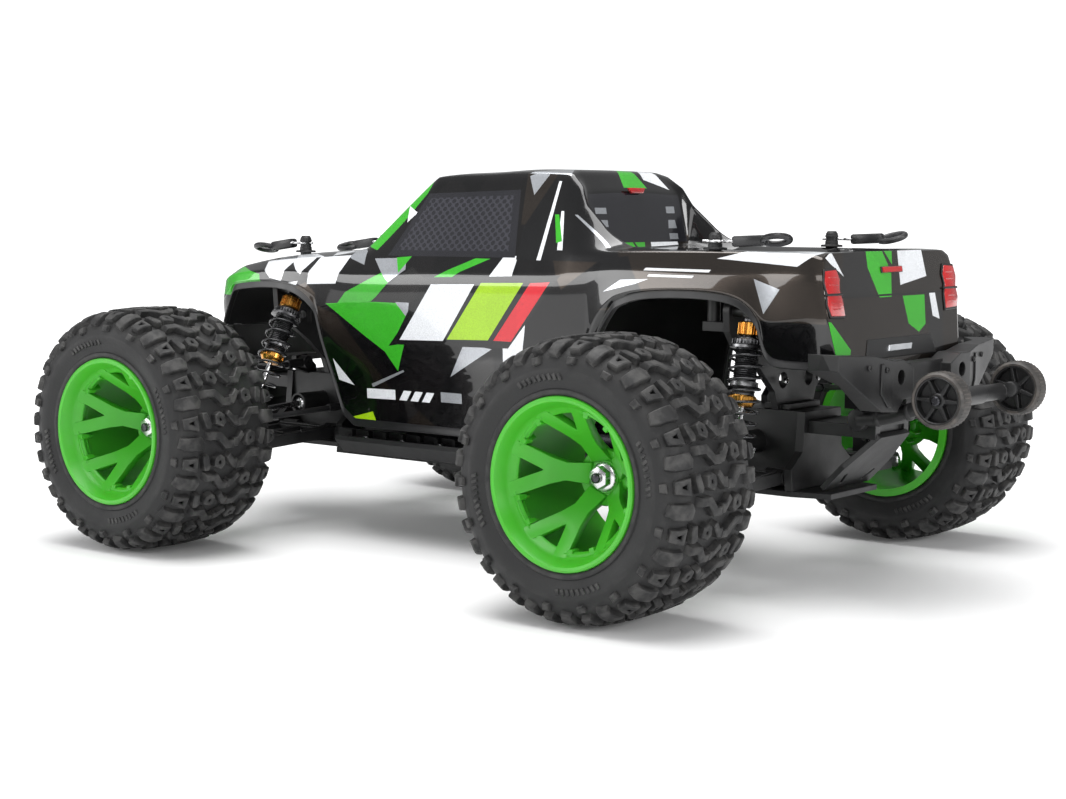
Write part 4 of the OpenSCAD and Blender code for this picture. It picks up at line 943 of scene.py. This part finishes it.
def makePaint(name, axes, shards):
    clearCoat = {"Coat Weight": 1.0, "Coat Roughness": 0.03, "Specular IOR Level": 0.25}
    look, tree, shader = startMaterial(name, clearCoat)
    where = addNode(tree, "ShaderNodeTexCoord").outputs["Object"]
    livery = placeGroup(tree, makeLivery(name + "Livery", axes, shards), Vector=where)
    grain = placeGroup(tree, grainGroup, Vector=where, Scale=420.0)
    film = placeGroup(tree, dustGroup, Vector=where, Amount=0.01)
    colour = mixColour(tree, film["Mask"], livery["Colour"], (0.4, 0.38, 0.36, 1))
    tree.links.new(colour, shader.inputs["Base Color"])
    tree.links.new(livery["Metal"], shader.inputs["Metallic"])
    tree.links.new(ranged(tree, grain["Mottle"], 0.2, 0.25), shader.inputs["Roughness"])
    bump = addNode(tree, "ShaderNodeBump", {"Height": grain["Mottle"], "Strength": 0.06, "Distance": 0.0001})
    tree.links.new(bump.outputs["Normal"], shader.inputs["Normal"])
    return look


paints = [makePaint("paintSide", "XZ", sideShards), makePaint("paintTop", "XY", topShards),
          makePaint("paintTail", "YZ", tailShards), makePaint("paintNose", "YZ", noseShards)]
sidePaint, topPaint, tailPaint, nosePaint = range(4)

shellShape = {"wall": 1.3, "lipOut": 1.6, "lipHigh": 4.0, "hem": 3.0}
# Stations from tail to nose: x, lean, then (across, up) for the bottom edge, side crease, shoulder,
# base of the cab, roof edge and inner edge, and the middle's height
shellStations = [
    (-235, -10, (70, 125), (75, 150), (75, 172), (72, 181), (66, 184), (30, 184.5), 184.5),
    (-231, -8, (75, 124), (77.5, 148), (77, 172), (73, 183), (64, 184.6), (36, 184), 184),
    (-222, -3, (76, 124), (78, 147.6), (77, 172), (73, 183.6), (62, 184.8), (44, 183), 183),
    (-213, 0, (76, 124), (78, 147), (76.5, 172), (72, 184), (60, 184.6), (46, 181), 180.5),
    (-205, 0, (76, 126), (78, 147), (76, 172), (71.5, 184), (59, 184.4), (46, 180), 180),
    (-200, 0, (76, 144), (78, 151.5), (76, 172), (71, 184), (58, 184.2), (46, 180), 180),
    (-193, 0, (76, 153), (78.5, 158.5), (76, 172), (71, 184), (58, 184.2), (46, 180), 180),
    (-180, 0, (76, 158), (78.5, 163), (76, 172.5), (71, 184), (58, 184.2), (46, 180), 180),
    (-150, 0, (76, 158.6), (78.5, 163.6), (76, 172.5), (71, 183.6), (58, 184), (46, 180), 180),
    (-122, 0, (76, 157), (78, 161.6), (76, 172.5), (71, 183), (57.5, 184), (46, 180), 180),
    (-108, 0, (75.5, 151), (77.5, 157), (75, 172), (70, 182.5), (57, 184.4), (48, 180), 180),
    (-97, 0, (74, 138), (76.5, 148), (74.5, 171), (69, 182), (57, 189), (50, 181), 180),
    (-90, 0, (73, 118), (75.5, 134), (74, 169), (69, 181.5), (56.5, 194), (50, 182), 180.5),
    (-87, 0, (72, 72), (75, 118), (74, 168), (69, 181.5), (56, 197), (50, 183), 181),
    (-74, 0, (72, 71), (75, 115), (74, 166.5), (69, 181), (54, 209), (49.5, 184), 182),
    (-68, 0, (72, 71), (75, 113), (74, 166), (68.5, 180.5), (51.5, 219), (47, 214), 216),
    (-58, 0, (72, 71), (75, 112), (74, 166), (68, 180), (49.5, 225.5), (38, 227.6), 228),
    (-24, 0, (72, 71), (75, 110), (74, 165), (68, 179), (47.5, 227), (36, 228.6), 229),
    (0, 0, (72, 71), (75, 110), (74, 164.5), (68, 178.4), (47, 225), (37, 226.4), 227),
    (26, 0, (72, 71), (75, 110), (74, 164), (68, 178), (47, 225), (38, 226), 227),
    (43, 0, (72, 71), (75, 111), (74, 163.6), (67.6, 177.5), (47.4, 223.4), (39, 224.4), 225.6),
    (52, 0, (72, 71), (75, 112), (74, 163.2), (67.3, 177.2), (49.6, 216), (41.6, 217.4), 218.8),
    (88, 0, (72, 71), (75, 115), (74, 163), (66, 176), (60.5, 180), (52, 180.8), 182.4),
    (97, 0, (72.6, 78), (75, 117), (74, 163.4), (65.5, 175.6), (59.6, 178.4), (52, 179), 180.4),
    (106, 0, (73.6, 102), (75, 124), (74, 164), (65, 175), (58, 177.6), (44, 178.4), 179),
    (115, 0, (74, 122), (75, 137), (74, 164), (64.5, 174.4), (56.5, 176.8), (42, 178), 178.6),
    (120, 0, (74, 140), (75, 149), (74, 164.4), (64, 174), (56, 176.4), (42, 177.6), 178.2),
    (136, 0, (74, 153), (75, 158), (74, 165), (64, 173), (54, 175.4), (40, 176.6), 177),
    (166, 0, (73, 154.4), (74.5, 159), (73, 165), (63, 171), (52, 173.4), (38, 174.4), 175),
    (193, 0, (72, 151), (73.5, 156), (72, 161.4), (62, 166.8), (50, 168.8), (34, 169.6), 170),
    (201, 1, (70.6, 136), (72.6, 147), (70.6, 159.4), (60.6, 164.4), (48.6, 166), (32, 167), 167.6),
    (206, 3, (67, 128), (69.5, 143), (67.5, 157), (58.6, 162), (46, 163.8), (28, 165), 165.6),
]
lineCreases = [1.0, 0.9, 0.7, 0.6, 0.7, 0.85, 0.85, 0.8, 0.0]
stationCreases = {-235: 0.9, -200: 0.5, -108: 0.5, -87: 0.8, -74: 0.8, -68: 0.85, -58: 0.5, 43: 0.8,
                  88: 0.8, 97: 0.7, 120: 0.5, 193: 0.5, 206: 0.8}


def sectionPoints(station):
    x, lean, bottom, crease, shoulder, base, roof, inner, top = station
    lip = shellShape["lipOut"]
    points = [(bottom[0] - shellShape["hem"], bottom[1] + 0.2), (bottom[0] + lip, bottom[1]),
              (bottom[0] + lip * 0.3 + 0.2, bottom[1] + shellShape["lipHigh"]), crease, shoulder, base,
              roof, inner, (0, top)]
    return [Vector((x + lean * (top - z) / 60, y, z)) for y, z in points]


# Extrudes a line of edges once and gives the new vertices in the order of the old ones
def nextRing(bm, ring, edges):
    grown = bmesh.ops.extrude_edge_only(bm, edges=edges)["geom"]
    fresh = {item for item in grown if isinstance(item, bmesh.types.BMVert)}
    rungs = [next(edge for edge in vert.link_edges if edge.other_vert(vert) in fresh) for vert in ring]
    return rungs, [rung.other_vert(vert) for rung, vert in zip(rungs, ring)]


def lineEdges(bm, ring):
    return [bm.edges.get(pair) for pair in zip(ring, ring[1:])]


def shellHalf():
    bm = bmesh.new()
    creases = bm.edges.layers.float.new("crease_edge")
    ring = [bm.verts.new(point) for point in sectionPoints(shellStations[0])]
    first = list(ring)
    edges = [bm.edges.new(pair) for pair in zip(ring, ring[1:])]
    for edge in edges:
        edge[creases] = stationCreases[shellStations[0][0]]
    hemFaces = set()
    for station in shellStations[1:]:
        rungs, ring = nextRing(bm, ring, edges)
        for rung, crease in zip(rungs, lineCreases):
            rung[creases] = crease
        for vert, point in zip(ring, sectionPoints(station)):
            vert.co = point
        edges = lineEdges(bm, ring)
        hemFaces.update(face for edge in edges[:2] for face in edge.link_faces)
        for edge in edges:
            edge[creases] = stationCreases.get(station[0], 0.0)
    for face in bm.faces:
        middleX = face.calc_center_median().x
        span = sorted({round(vert.co.z) for vert in face.verts})
        acrossMost = max(vert.co.y for vert in face.verts)
        onTop = face.calc_center_median().z > 171 and acrossMost < 66 and not (20 < middleX < 100)
        face.material_index = topPaint if onTop else sidePaint
        if min(vert.co.y for vert in face.verts) < 0.5:
            face.material_index = topPaint
        if -75 < middleX < -67 and acrossMost < 60 and span[0] < 200:
            face.material_index = tailPaint
        if face in hemFaces:
            face.material_index = len(paints)
    for endRing, paint in ((first, tailPaint), (ring, nosePaint)):
        lower = endRing[:6]
        before = set(bm.faces)
        tops = []
        for share in (0.9, 0.0):
            following = nextRing(bm, lower, lineEdges(bm, lower))[1]
            for vert, found in zip(lower, following):
                found.co.y = vert.co.y * share
            lower = following
            tops.insert(0, lower[-1])
        bm.faces.new(endRing[5:] + tops)
        for face in set(bm.faces) - before:
            face.material_index = paint
    return bm


def makeShell():
    bm = shellHalf()
    bmesh.ops.recalc_face_normals(bm, faces=bm.faces)
    bmesh.ops.mirror(bm, geom=whole(bm), axis="Y", merge_dist=0.001)
    piece = makePiece("shell", bm, carFrame(), paints + [looks["shellInside"]], "chassis",
                      ["body_shell"], sharp=180)
    smooth = piece.modifiers.new("smooth", "SUBSURF")
    smooth.levels = smooth.render_levels = 3
    wall = piece.modifiers.new("wall", "SOLIDIFY")
    wall.thickness = shellShape["wall"] * mm
    wall.offset = -1
    wall.material_offset = wall.material_offset_rim = len(paints)
    return piece


makeShell()
print("shell made")


# A frame whose x and y lie in a surface and whose z stands out of it
def planeFrame(origin, across, upward):
    across, upward = Vector(across), Vector(upward)
    out = across.cross(upward).normalized()
    turn = Matrix((across, upward, out)).transposed()
    return carFrame() @ Matrix.Translation(origin) @ turn.to_4x4()


def screwShape(radius, height):
    bm = rodShape(radius, height, sides=12)
    top = [face for face in bm.faces if all(abs(v.co.z - height) < 1e-5 for v in face.verts)]
    bmesh.ops.inset_region(bm, faces=top, thickness=radius * 0.22)
    bmesh.ops.translate(bm, verts=list(top[0].verts), vec=(0, 0, radius * 0.18))
    bmesh.ops.inset_region(bm, faces=top, thickness=radius * 0.26)
    raiseFaces(bm, top, (0, 0, -radius * 0.5))
    return bm


tailTrim = {
    "lamp": [(73.5, 175), (62, 175.5), (59.5, 170.5), (61, 165), (59, 160), (58.5, 151.5), (72.5, 152),
             (75, 158), (73.8, 163.5), (75.5, 169)],
    "lampThick": 1.3, "frameThick": 0.9, "frameGrow": 1.0, "top": 184.5, "lean": 1 / 6,
    "plate": [(36, 138.5), (-36, 138.5), (-41, 128), (41, 128)],
    "centreLamp": [(11, 176), (-11, 176), (-11, 173), (11, 173)],
    "thirdLamp": [(9, 217.6), (-9, 217.6), (-6, 214.4), (6, 214.4)],
}


def tailFrame():
    lean = tailTrim["lean"]
    return planeFrame((-235 - lean * tailTrim["top"], 0, 0), (0, -1, 0), (lean, 0, 1))


def grownOutline(points, extra):
    centre = [sum(values) / len(points) for values in zip(*points)]
    reach = max(math.dist(point, centre) for point in points)
    grow = 1 + extra / reach
    return [(centre[0] + (x - centre[0]) * grow, centre[1] + (y - centre[1]) * grow) for x, y in points]


def makeTailTrim():
    values = tailTrim
    lamps, frames = bmesh.new(), bmesh.new()
    for side in (1, -1):
        outline = [(side * y, z) for y, z in values["lamp"]]
        addShape(lamps, plateSolid(outline, values["lampThick"], 0.5, 2))
        addShape(frames,
                 plateSolid(grownOutline(outline, values["frameGrow"] * 1.4), values["frameThick"], 0.3))
        face = values["lampThick"]
        for z in (155.2, 158.4, 167.6, 171.4):  # ribs moulded across the lens
            addShape(lamps, blockShape((side * 66.8 - 4.6, z, face - 0.4),
                                       (side * 66.8 + 4.6, z + 0.6, face + 0.2), 0.2))
        addShape(frames, blockShape((side * 67 - 8.4, 162.2, 0), (side * 67 + 8.4, 163.4, face + 0.25), 0.2))
    addShape(lamps, plateSolid(values["centreLamp"], 1.4, 0.4))
    makePiece("tailLamps", lamps, tailFrame(), [looks["lampRed"]], "chassis")
    addShape(frames, plateSolid(values["plate"], 0.5, 0.2))
    rim = bmesh.new()
    face = outlineFace(rim, [(x, y, 0) for x, y in grownOutline(values["plate"], 2.5)])
    bmesh.ops.inset_region(rim, faces=[face], thickness=1.8)
    bmesh.ops.delete(rim, geom=[face], context="FACES_ONLY")
    raiseFaces(rim, list(rim.faces), (0, 0, 1.1))
    addShape(frames, rim)
    addShape(frames, plateSolid(grownOutline(values["centreLamp"], 1.2), 0.8, 0.2))
    makePiece("tailTrim", frames, tailFrame(), [looks["bumperNylon"]], "chassis")
    bar = plateSolid([(12, 134.6), (-14, 134.6), (-16, 131.4), (10, 131.4)], 1.4, 0.2)
    makePiece("plateBar", bar, tailFrame(), [looks["lampClear"]], "chassis")
    third = plateSolid([(y, z) for y, z in values["thirdLamp"]], 1.6, 0.5, 2)
    makePiece("thirdLamp", third, planeFrame((-117.3, 0, 0), (0, -1, 0), (0.225, 0, 1)), [looks["lampRed"]],
              "chassis")


noseTrim = {"lamp": [(56, 158), (36, 160), (33, 150), (50, 147)], "slats": 6, "place": (214.8, 0, 0)}


def makeNoseTrim():
    place = planeFrame(noseTrim["place"], (0, 1, 0), (-0.05, 0, 1))
    lamps, grille = bmesh.new(), bmesh.new()
    for side in (1, -1):
        outline = [(side * y, z) for y, z in noseTrim["lamp"]]
        addShape(lamps, plateSolid(outline, 2.2, 0.7, 2))
        addShape(grille, plateSolid(grownOutline(outline, 2.2), 1.3, 0.4))
    for index in range(noseTrim["slats"]):
        z = 133 + index * 4.4
        addShape(grille, blockShape((-30, z, -0.4), (30, z + 1.9, 1.6), 0.4))
    addShape(grille, blockShape((-32, 130.4, -0.6), (32, 158.6, 0.5), 0.4))
    makePiece("headLamps", lamps, place, [looks["lampClear"]], "chassis")
    makePiece("grille", grille, place, [looks["bumperNylon"]], "chassis")


makeTailTrim()
makeNoseTrim()


def frameShape(outline, width, height):
    bm = bmesh.new()
    face = outlineFace(bm, [(x, y, 0) for x, y in outline])
    bmesh.ops.inset_region(bm, faces=[face], thickness=width)
    bmesh.ops.delete(bm, geom=[face], context="FACES_ONLY")
    raiseFaces(bm, list(bm.faces), (0, 0, height))
    roundEdges(bm, bentEdges(bm, 0.7), 0.35)
    return bm


wingShape = {"panel": [(57, 111), (78, 123.5), (86, 131), (58, 129.4)], "inner": 46, "back": -263,
             "slope": 7 / 45}


# Raised frames and ribs on the back of the rear bumper's wings, and the bolts that hold it
def makeWingPanels():
    for side, name in ((1, "Left"), (-1, "Right")):
        bm = bmesh.new()
        slope = wingShape["slope"]
        outline = [(side * y, z) for y, z in wingShape["panel"]]
        place = planeFrame((wingShape["back"] - wingShape["inner"] * slope, 0, 0), (side * slope, 1, 0),
                           (0, 0, 1))
        out = Matrix.Diagonal((1, 1, -1, 1))
        addShape(bm, frameShape(outline, 1.7, 1.3), out)
        ridge = [(side * y, z) for y,
                 z in ((56, 127.8), (56.5, 112.6), (50, 105), (47.5, 105), (53.6, 113.4), (53.4, 128))]
        addShape(bm, plateSolid(ridge, 0.9, 0.3), out)
        for y, z in ((51, 124.5), (66, 126.2)):
            addShape(bm, screwShape(1.5, 1.0), out @ moved(side * y, z, 0))
        makePiece("wingPanel" + name, bm, place, [looks["bumperNylon"]], "chassis")


makeWingPanels()


wheelieShape = {"x": -291, "z": 110.6, "y": 46.6, "radius": 14.7, "half": 5.5, "spokes": 6}


def wheelieWheel(turn):
    values = wheelieShape
    rubber, wheel = bmesh.new(), bmesh.new()
    radius, half = values["radius"], values["half"]
    turned(rubber, [(radius - 2.4, -half), (radius - 1.3, -half - 0.2), (radius - 0.3, -half + 0.9),
                    (radius, -half + 2.4), (radius, half - 2.4), (radius - 0.3, half - 0.9),
                    (radius - 1.3, half + 0.2), (radius - 2.4, half)], steps=72)
    ringOfBlocks(rubber, 44, (-0.3, -half + 1.6, radius - 0.3), (0.3, half - 1.6, radius + 0.16), 0.1)
    turned(wheel, [(radius - 2.3, -half + 0.4), (radius - 2.3, half - 0.3), (radius - 2.9, half + 0.3),
                   (radius - 3.5, half - 0.2), (radius - 3.7, 0.6), (4.2, 0.4), (4.0, half - 0.6),
                   (3.4, half - 0.1), (1.7, half - 0.1), (1.7, -half), (3.6, -half), (3.8, -0.4),
                   (radius - 3.7, -0.4), (radius - 3.4, -half + 0.4)], steps=48)
    for index in range(values["spokes"]):
        spoke = bmesh.new()
        face = outlineFace(spoke,
                           [(-1.2, 0, 3.4), (1.2, 0, 3.4), (0.75, 0, radius - 3.2), (-0.75, 0, radius - 3.2)])
        bmesh.ops.translate(spoke, verts=spoke.verts, vec=(0, 1.2 - half, 0))
        raiseFaces(spoke, [face], (0, 2 * half - 2.1, 0))
        roundEdges(spoke, list(spoke.edges), 0.25)
        addShape(wheel, spoke, spun(index * 60 + turn))
    screw = bmesh.new()
    addShape(screw, screwShape(2.5, 1.4), moved(0, half + 0.1, 0) @ spun(-90, "X"))
    return rubber, wheel, screw


def makeWheelieWheels():
    values = wheelieShape
    parts = [bmesh.new() for _ in range(3)]
    for side, turn in ((1, 28), (-1, 12)):
        place = moved(values["x"], side * values["y"], values["z"]) @ Matrix.Diagonal((1, side, 1, 1))
        for target, part in zip(parts, wheelieWheel(turn)):
            addShape(target, part, place)
    makePiece("wheelieTyres", parts[0], carFrame(), [looks["wheelieRubber"]], "wheelie",
              ["wheelie_wheels"])
    makePiece("wheelieHubs", parts[1], carFrame(), [looks["nylonBlack"]], "wheelie")
    makePiece("wheelieScrews", parts[2], carFrame(), [looks["motorCan"]], "wheelie")


def makeWheelieBar():
    bm = bmesh.new()
    values = wheelieShape
    for side in (1, -1):
        path = [(-232, side * 23, 94.5), (-240, side * 23.8, 95.2), (-254, side * 25.8, 98.2),
                (-268, side * 27.8, 103.4), (-278, side * 29.2, 107.6), (-286, side * 30.4, 109.4)]
        addShape(bm, wireShape(path, 4.0, sides=4))
        knuckle = rodShape(5.9, 6.2, size=0.7)
        addShape(bm, knuckle, moved(-232, side * 23 - 3.1, 94.5) @ spun(-90, "X"))
        boss = rodShape(4.2, 5.2, size=1.0)
        start = side * (values["y"] - values["half"] - 3.1)
        addShape(bm, boss, moved(values["x"], start - 2.7, values["z"]) @ spun(-90, "X"))
        for x, z in ((-243, 96.4), (-262, 101.2)):  # clamp bands on the arms
            band = rodShape(4.6, 2.6, size=0.5)
            addShape(bm, band, moved(x, side * (23 + (-232 - x) * 0.14), z - 0.6) @ spun(-72))
    reach = values["y"] - values["half"] - 0.8
    tube = bmesh.new()
    turned(tube, [(0.1, -reach), (3.6, -reach), (4.5, -reach + 1.2), (4.5, -12), (5.1, -11.4), (5.1, 11.4),
                  (4.5, 12), (4.5, reach - 1.2), (3.6, reach), (0.1, reach)], steps=32)
    addShape(bm, tube, moved(values["x"] + 6, 0, values["z"] - 1.5))
    makePiece("wheelieArms", bm, carFrame(), [looks["bumperNylon"]], "chassis",
              ["wheelie_bar"])


makeWheelieWheels()
makeWheelieBar()
print("bumper detail and wheelie bar made")


damperShape = {
    "f": {"x": -16.5, "top": (61, 152), "foot": (102, 72)},
    "r": {"x": -23.5, "top": (66, 152), "foot": (80, 70)},
    "thread": (20.0, 43.6), "threadStep": 1.1, "wire": 0.75, "coil": 8.65, "turns": 8, "stepsPerTurn": 20,
}


# Z runs down the damper from its top pivot
def damperFrame(corner):
    values = damperShape[corner[0]]
    top, foot = Vector((0, *values["top"])), Vector((0, *values["foot"]))
    down = (foot - top).normalized()
    across = Vector((1, 0, 0))
    turn = Matrix((across, down.cross(across), down)).transposed()
    place = moved(values["x"], top.y, top.z) @ turn.to_4x4()
    return cornerFrame(corner) @ place, (foot - top).length


def makeDamper(corner):
    place, length = damperFrame(corner)
    low, high = damperShape["thread"]
    body = bmesh.new()
    thread = []
    for index in range(int((high - low) / damperShape["threadStep"])):
        start = low + index * damperShape["threadStep"]
        thread += [(6.3, start + 0.2), (5.9, start + 0.6)]
    turned(body, [(0.1, 3.4), (3.6, 3.4), (4.2, 4.0), (4.2, 13.4), (6.2, 14.0), (6.2, 19.6)] + thread +
           [(6.2, 44.0), (5.1, 44.2)], steps=40, axis="Z", closed=False)
    turned(body, [(6.1, 14.4), (7.4, 14.4), (8.2, 15.0), (8.4, 17.4), (9.6, 18.0), (9.6, 19.4), (6.1, 19.6)],
           steps=48, axis="Z")
    ringOfBlocks(body, 28, (-0.35, 7.6, 14.9), (0.35, 8.75, 17.4), 0.15, "Z")
    turned(body, [(1.6, -3.0), (4.0, -3.0), (4.4, -2.5), (4.4, 2.5), (4.0, 3.0), (1.6, 3.0)], steps=32,
           axis="X")
    turned(body, [(6.1, 36.6), (7.6, 37.0), (7.6, 39.4), (6.1, 39.8)], steps=40, axis="Z")
    makePiece("damperSleeve_" + corner, body, place, [looks["damperBlack"]], "damper_" + corner,
              ["damper_body_" + corner])
    gold = bmesh.new()
    turned(gold, [(3.0, 5.4), (5.2, 5.4), (5.7, 6.0), (5.7, 12.2), (5.2, 12.8), (3.0, 12.8)], steps=36,
           axis="Z")
    ringOfBlocks(gold, 26, (-0.3, 5.3, 6.0), (0.3, 6.25, 12.2), 0.15, "Z")
    turned(gold, [(5.1, 44.2), (6.6, 44.2), (7.1, 44.8), (7.1, 47.6), (6.4, 48.6), (5.6, 50.0), (2.6, 50.6),
                  (1.7, 50.6), (1.7, 46.3), (5.1, 46.2)], steps=48, axis="Z")
    ringOfBlocks(gold, 8, (-1.7, 6.2, 44.9), (1.7, 7.35, 47.5), 0.3, "Z")
    makePiece("damperGold_" + corner, gold, place, [looks["goldAnodised"]], "damper_" + corner)
    perch = bmesh.new()
    seat = length - 12
    turned(perch, [(1.5, seat), (9.7, seat), (9.9, seat + 0.6), (9.7, seat + 1.8), (6.5, seat + 3.2),
                   (4.2, seat + 5.0), (3.9, seat + 8.4), (1.5, seat + 8.4)], steps=40, axis="Z")
    makePiece("springPerch_" + corner, perch, place, [looks["damperBlack"]], "rod_" + corner)
    return place, seat


def makeSpring(corner, place, seat):
    values = damperShape
    wire, coil = values["wire"], values["coil"]
    low, high = 19.9 + wire, seat - 0.1 - wire
    bm = bmesh.new()
    ring = bmesh.ops.create_circle(bm, segments=10, radius=wire,
                                   matrix=moved(0, coil, low) @ spun(90))
    steps = values["turns"] * values["stepsPerTurn"]
    edges = list(bm.edges)
    bmesh.ops.spin(bm, geom=ring["verts"] + edges, cent=(0, 0, 0), axis=(0, 0, 1),
                   dvec=(0, 0, (high - low) / steps), angle=2 * math.pi * values["turns"], steps=steps)
    ends = [edge for edge in bm.edges if edge.is_boundary]
    bmesh.ops.holes_fill(bm, edges=ends, sides=0)
    spring = makePiece("coil_" + corner, bm, place, [looks["springBlack"]], None,
                       ["spring_" + corner], sharp=60)
    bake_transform(spring)


for corner in corners:
    damperPlace, perchAt = makeDamper(corner)
    makeSpring(corner, damperPlace, perchAt)
print("dampers and springs made")


postSpots = {"front": {"x": 163, "y": 38, "top": 186, "reach": 1, "droop": 8, "tab": 8.5},
             "rear": {"x": -165, "y": 63.6, "top": 193.6, "reach": -1, "droop": -3, "tab": 12.5}}


clipWire = [(-6, 0), (-2, 0), (8, 0), (13, -0.6), (18, -2.4), (20.4, 1.4), (18.4, 5.2), (13.4, 4.6),
            (9, 3.2), (6, 5.9), (1.6, 6.0), (-1.4, 4.8), (-4.4, 5.6)]


def makeClips():
    steel, rubber, caps = bmesh.new(), bmesh.new(), bmesh.new()
    for spot in postSpots.values():
        for side in (1, -1):
            reach = spot["reach"]
            pin = spot["top"] - 4.6
            place = moved(spot["x"], side * spot["y"], pin) @ Matrix.Diagonal((reach, side, 1, 1))
            size = spot["tab"] / 17.5
            addShape(steel,
                     wireShape([(x * size if x > 8 else x, y, 0) for x, y in clipWire], 0.75, sides=3), place)
            tip = place @ moved(spot["tab"], 1.6, 0) @ spun(spot["droop"])
            tab = blockShape((0, -4.2, -2.9), (20, 4.2, 2.9), 1.6, 2)
            for vert in tab.verts:
                vert.co.y *= 1 - 0.00045 * (vert.co.x - 9) ** 2 * 8
            addShape(rubber, tab, tip)
            loop = []
            for index in range(10):
                across, along = math.sin(index * math.pi / 5), math.cos(index * math.pi / 5)
                loop.append((18.5 + 7.6 + 8.0 * along, 5.6 * across, 2.0 * across + 0.8 * along))
            addShape(rubber, wireShape(loop, 1.7, cyclic=True, sides=3), tip)
            head = moved(spot["x"], side * spot["y"], 0)
            top = spot["top"]
            cap = bmesh.new()
            turned(cap,
                   [(0.1, top + 0.1), (1.6, top - 0.2), (3.0, top - 1.2), (3.9, top - 2.8), (3.9, top - 3.4),
                         (0.1, top - 3.5)], steps=28, axis="Z")
            base = top - (10.6 if reach > 0 else 9.2)
            turned(cap, [(3.4, base), (6.2, base), (6.5, base + 0.5), (6.2, base + 1.2), (3.9, base + 1.4),
                         (3.8, base + 3.4), (3.4, base + 3.4)], steps=32, axis="Z")
            addShape(caps, cap, head)
    makePiece("clipWires", steel, carFrame(), [looks["steel"]], "chassis", ["body_clips"])
    makePiece("clipTabs", rubber, carFrame(), [looks["clipRubber"]], "chassis")
    makePiece("postCaps", caps, carFrame(), [looks["nylonBlack"]], "chassis")


makeClips()
print("body clips made")


# A socket screw head at a point, its axis along out
def addScrew(bm, at, out, radius=2.2, height=1.6):
    turn = Vector(out).to_track_quat("Z", "Y").to_matrix().to_4x4()
    addShape(bm, screwShape(radius, height), Matrix.Translation(at) @ turn)


# Pin screws, the damper's lower screw and stiffening ribs, riding on each lower arm
def makeArmFittings():
    for corner in corners:
        steel, ribs = bmesh.new(), bmesh.new()
        foot = damperShape[corner[0]]["foot"]
        eye = damperShape[corner[0]]["x"]
        for x, out in ((16.5, (1, 0, 0)), (-16.5, (-1, 0, 0))):
            addScrew(steel, (x, 118, 55), out, 2.4, 1.4)
        addScrew(steel, (eye + 5.7, *foot), (1, 0, 0), 2.4, 1.6)
        makePiece("armScrews_" + corner, steel, cornerFrame(corner), [looks["steel"]], "arm_" + corner)
        tilt = moved(0, 28, 60) @ Matrix.Rotation(math.atan2(-5, 90), 4, "X")
        for x0, x1, y0, y1 in ((-22.4, -20.6, 6, 34), (20.6, 22.4, 6, 34), (-19, 19, 10.4, 12.2),
                               (-16, 16, 42.6, 44.4)):
            addShape(ribs, blockShape((x0, y0, 3.3), (x1, y1, 5.0), 0.5), tilt)
        makePiece("armRibs_" + corner, ribs, cornerFrame(corner), [looks["nylonBlack"]], "arm_" + corner)


# Counter-sunk bolts along the chassis guards and on both towers
def makeSkidBolts():
    bolts = bmesh.new()
    for side in (1, -1):
        for x in range(-90, 100, 30):
            addScrew(bolts, (x, side * 60, 62.2), (0, 0, 1), 1.8, 1.0)
        for y, z in ((18, 112), (30, 128), (46, 140)):
            for x, out in ((-183.2, -1), (164.6, 1)):
                addScrew(bolts, (x, side * y, z), (out, 0, 0), 2.0, 1.2)
    makePiece("chassisBolts", bolts, carFrame(), [looks["steel"]], "chassis")


makeArmFittings()
makeSkidBolts()
print("screws and fittings made")


slotLooks = {
    "steel": "steel", "nylon_black": "nylonBlack", "link_plastic": "linkPlastic",
             "damper_alloy": "damperBlack", "spring_steel": "springBlack", "chassis_nylon": "chassisNylon",
             "motor_can": "motorCan", "electronics": "electronics", "battery_wrap": "batteryWrap",
             "bumper_nylon": "bumperNylon", "wheelie_rubber": "wheelieRubber", "clip_rubber": "clipRubber",
             "tyre_rubber": "tyreRubber", "rim_plastic": "rimPlastic", "shell_paint": "nylonBlack",
}
nodeSlots = {part["node"]: part["material_slot"] for part in frame["record"]["subparts"]}


def nodeLook(node):
    return slotLooks[nodeSlots[node]]


for node, obj in frame["nodes"].items():  # the CAD nodes that still show
    if obj.hide_render:
        continue
    obj.data.materials.clear()
    obj.data.materials.append(looks[nodeLook(node)])
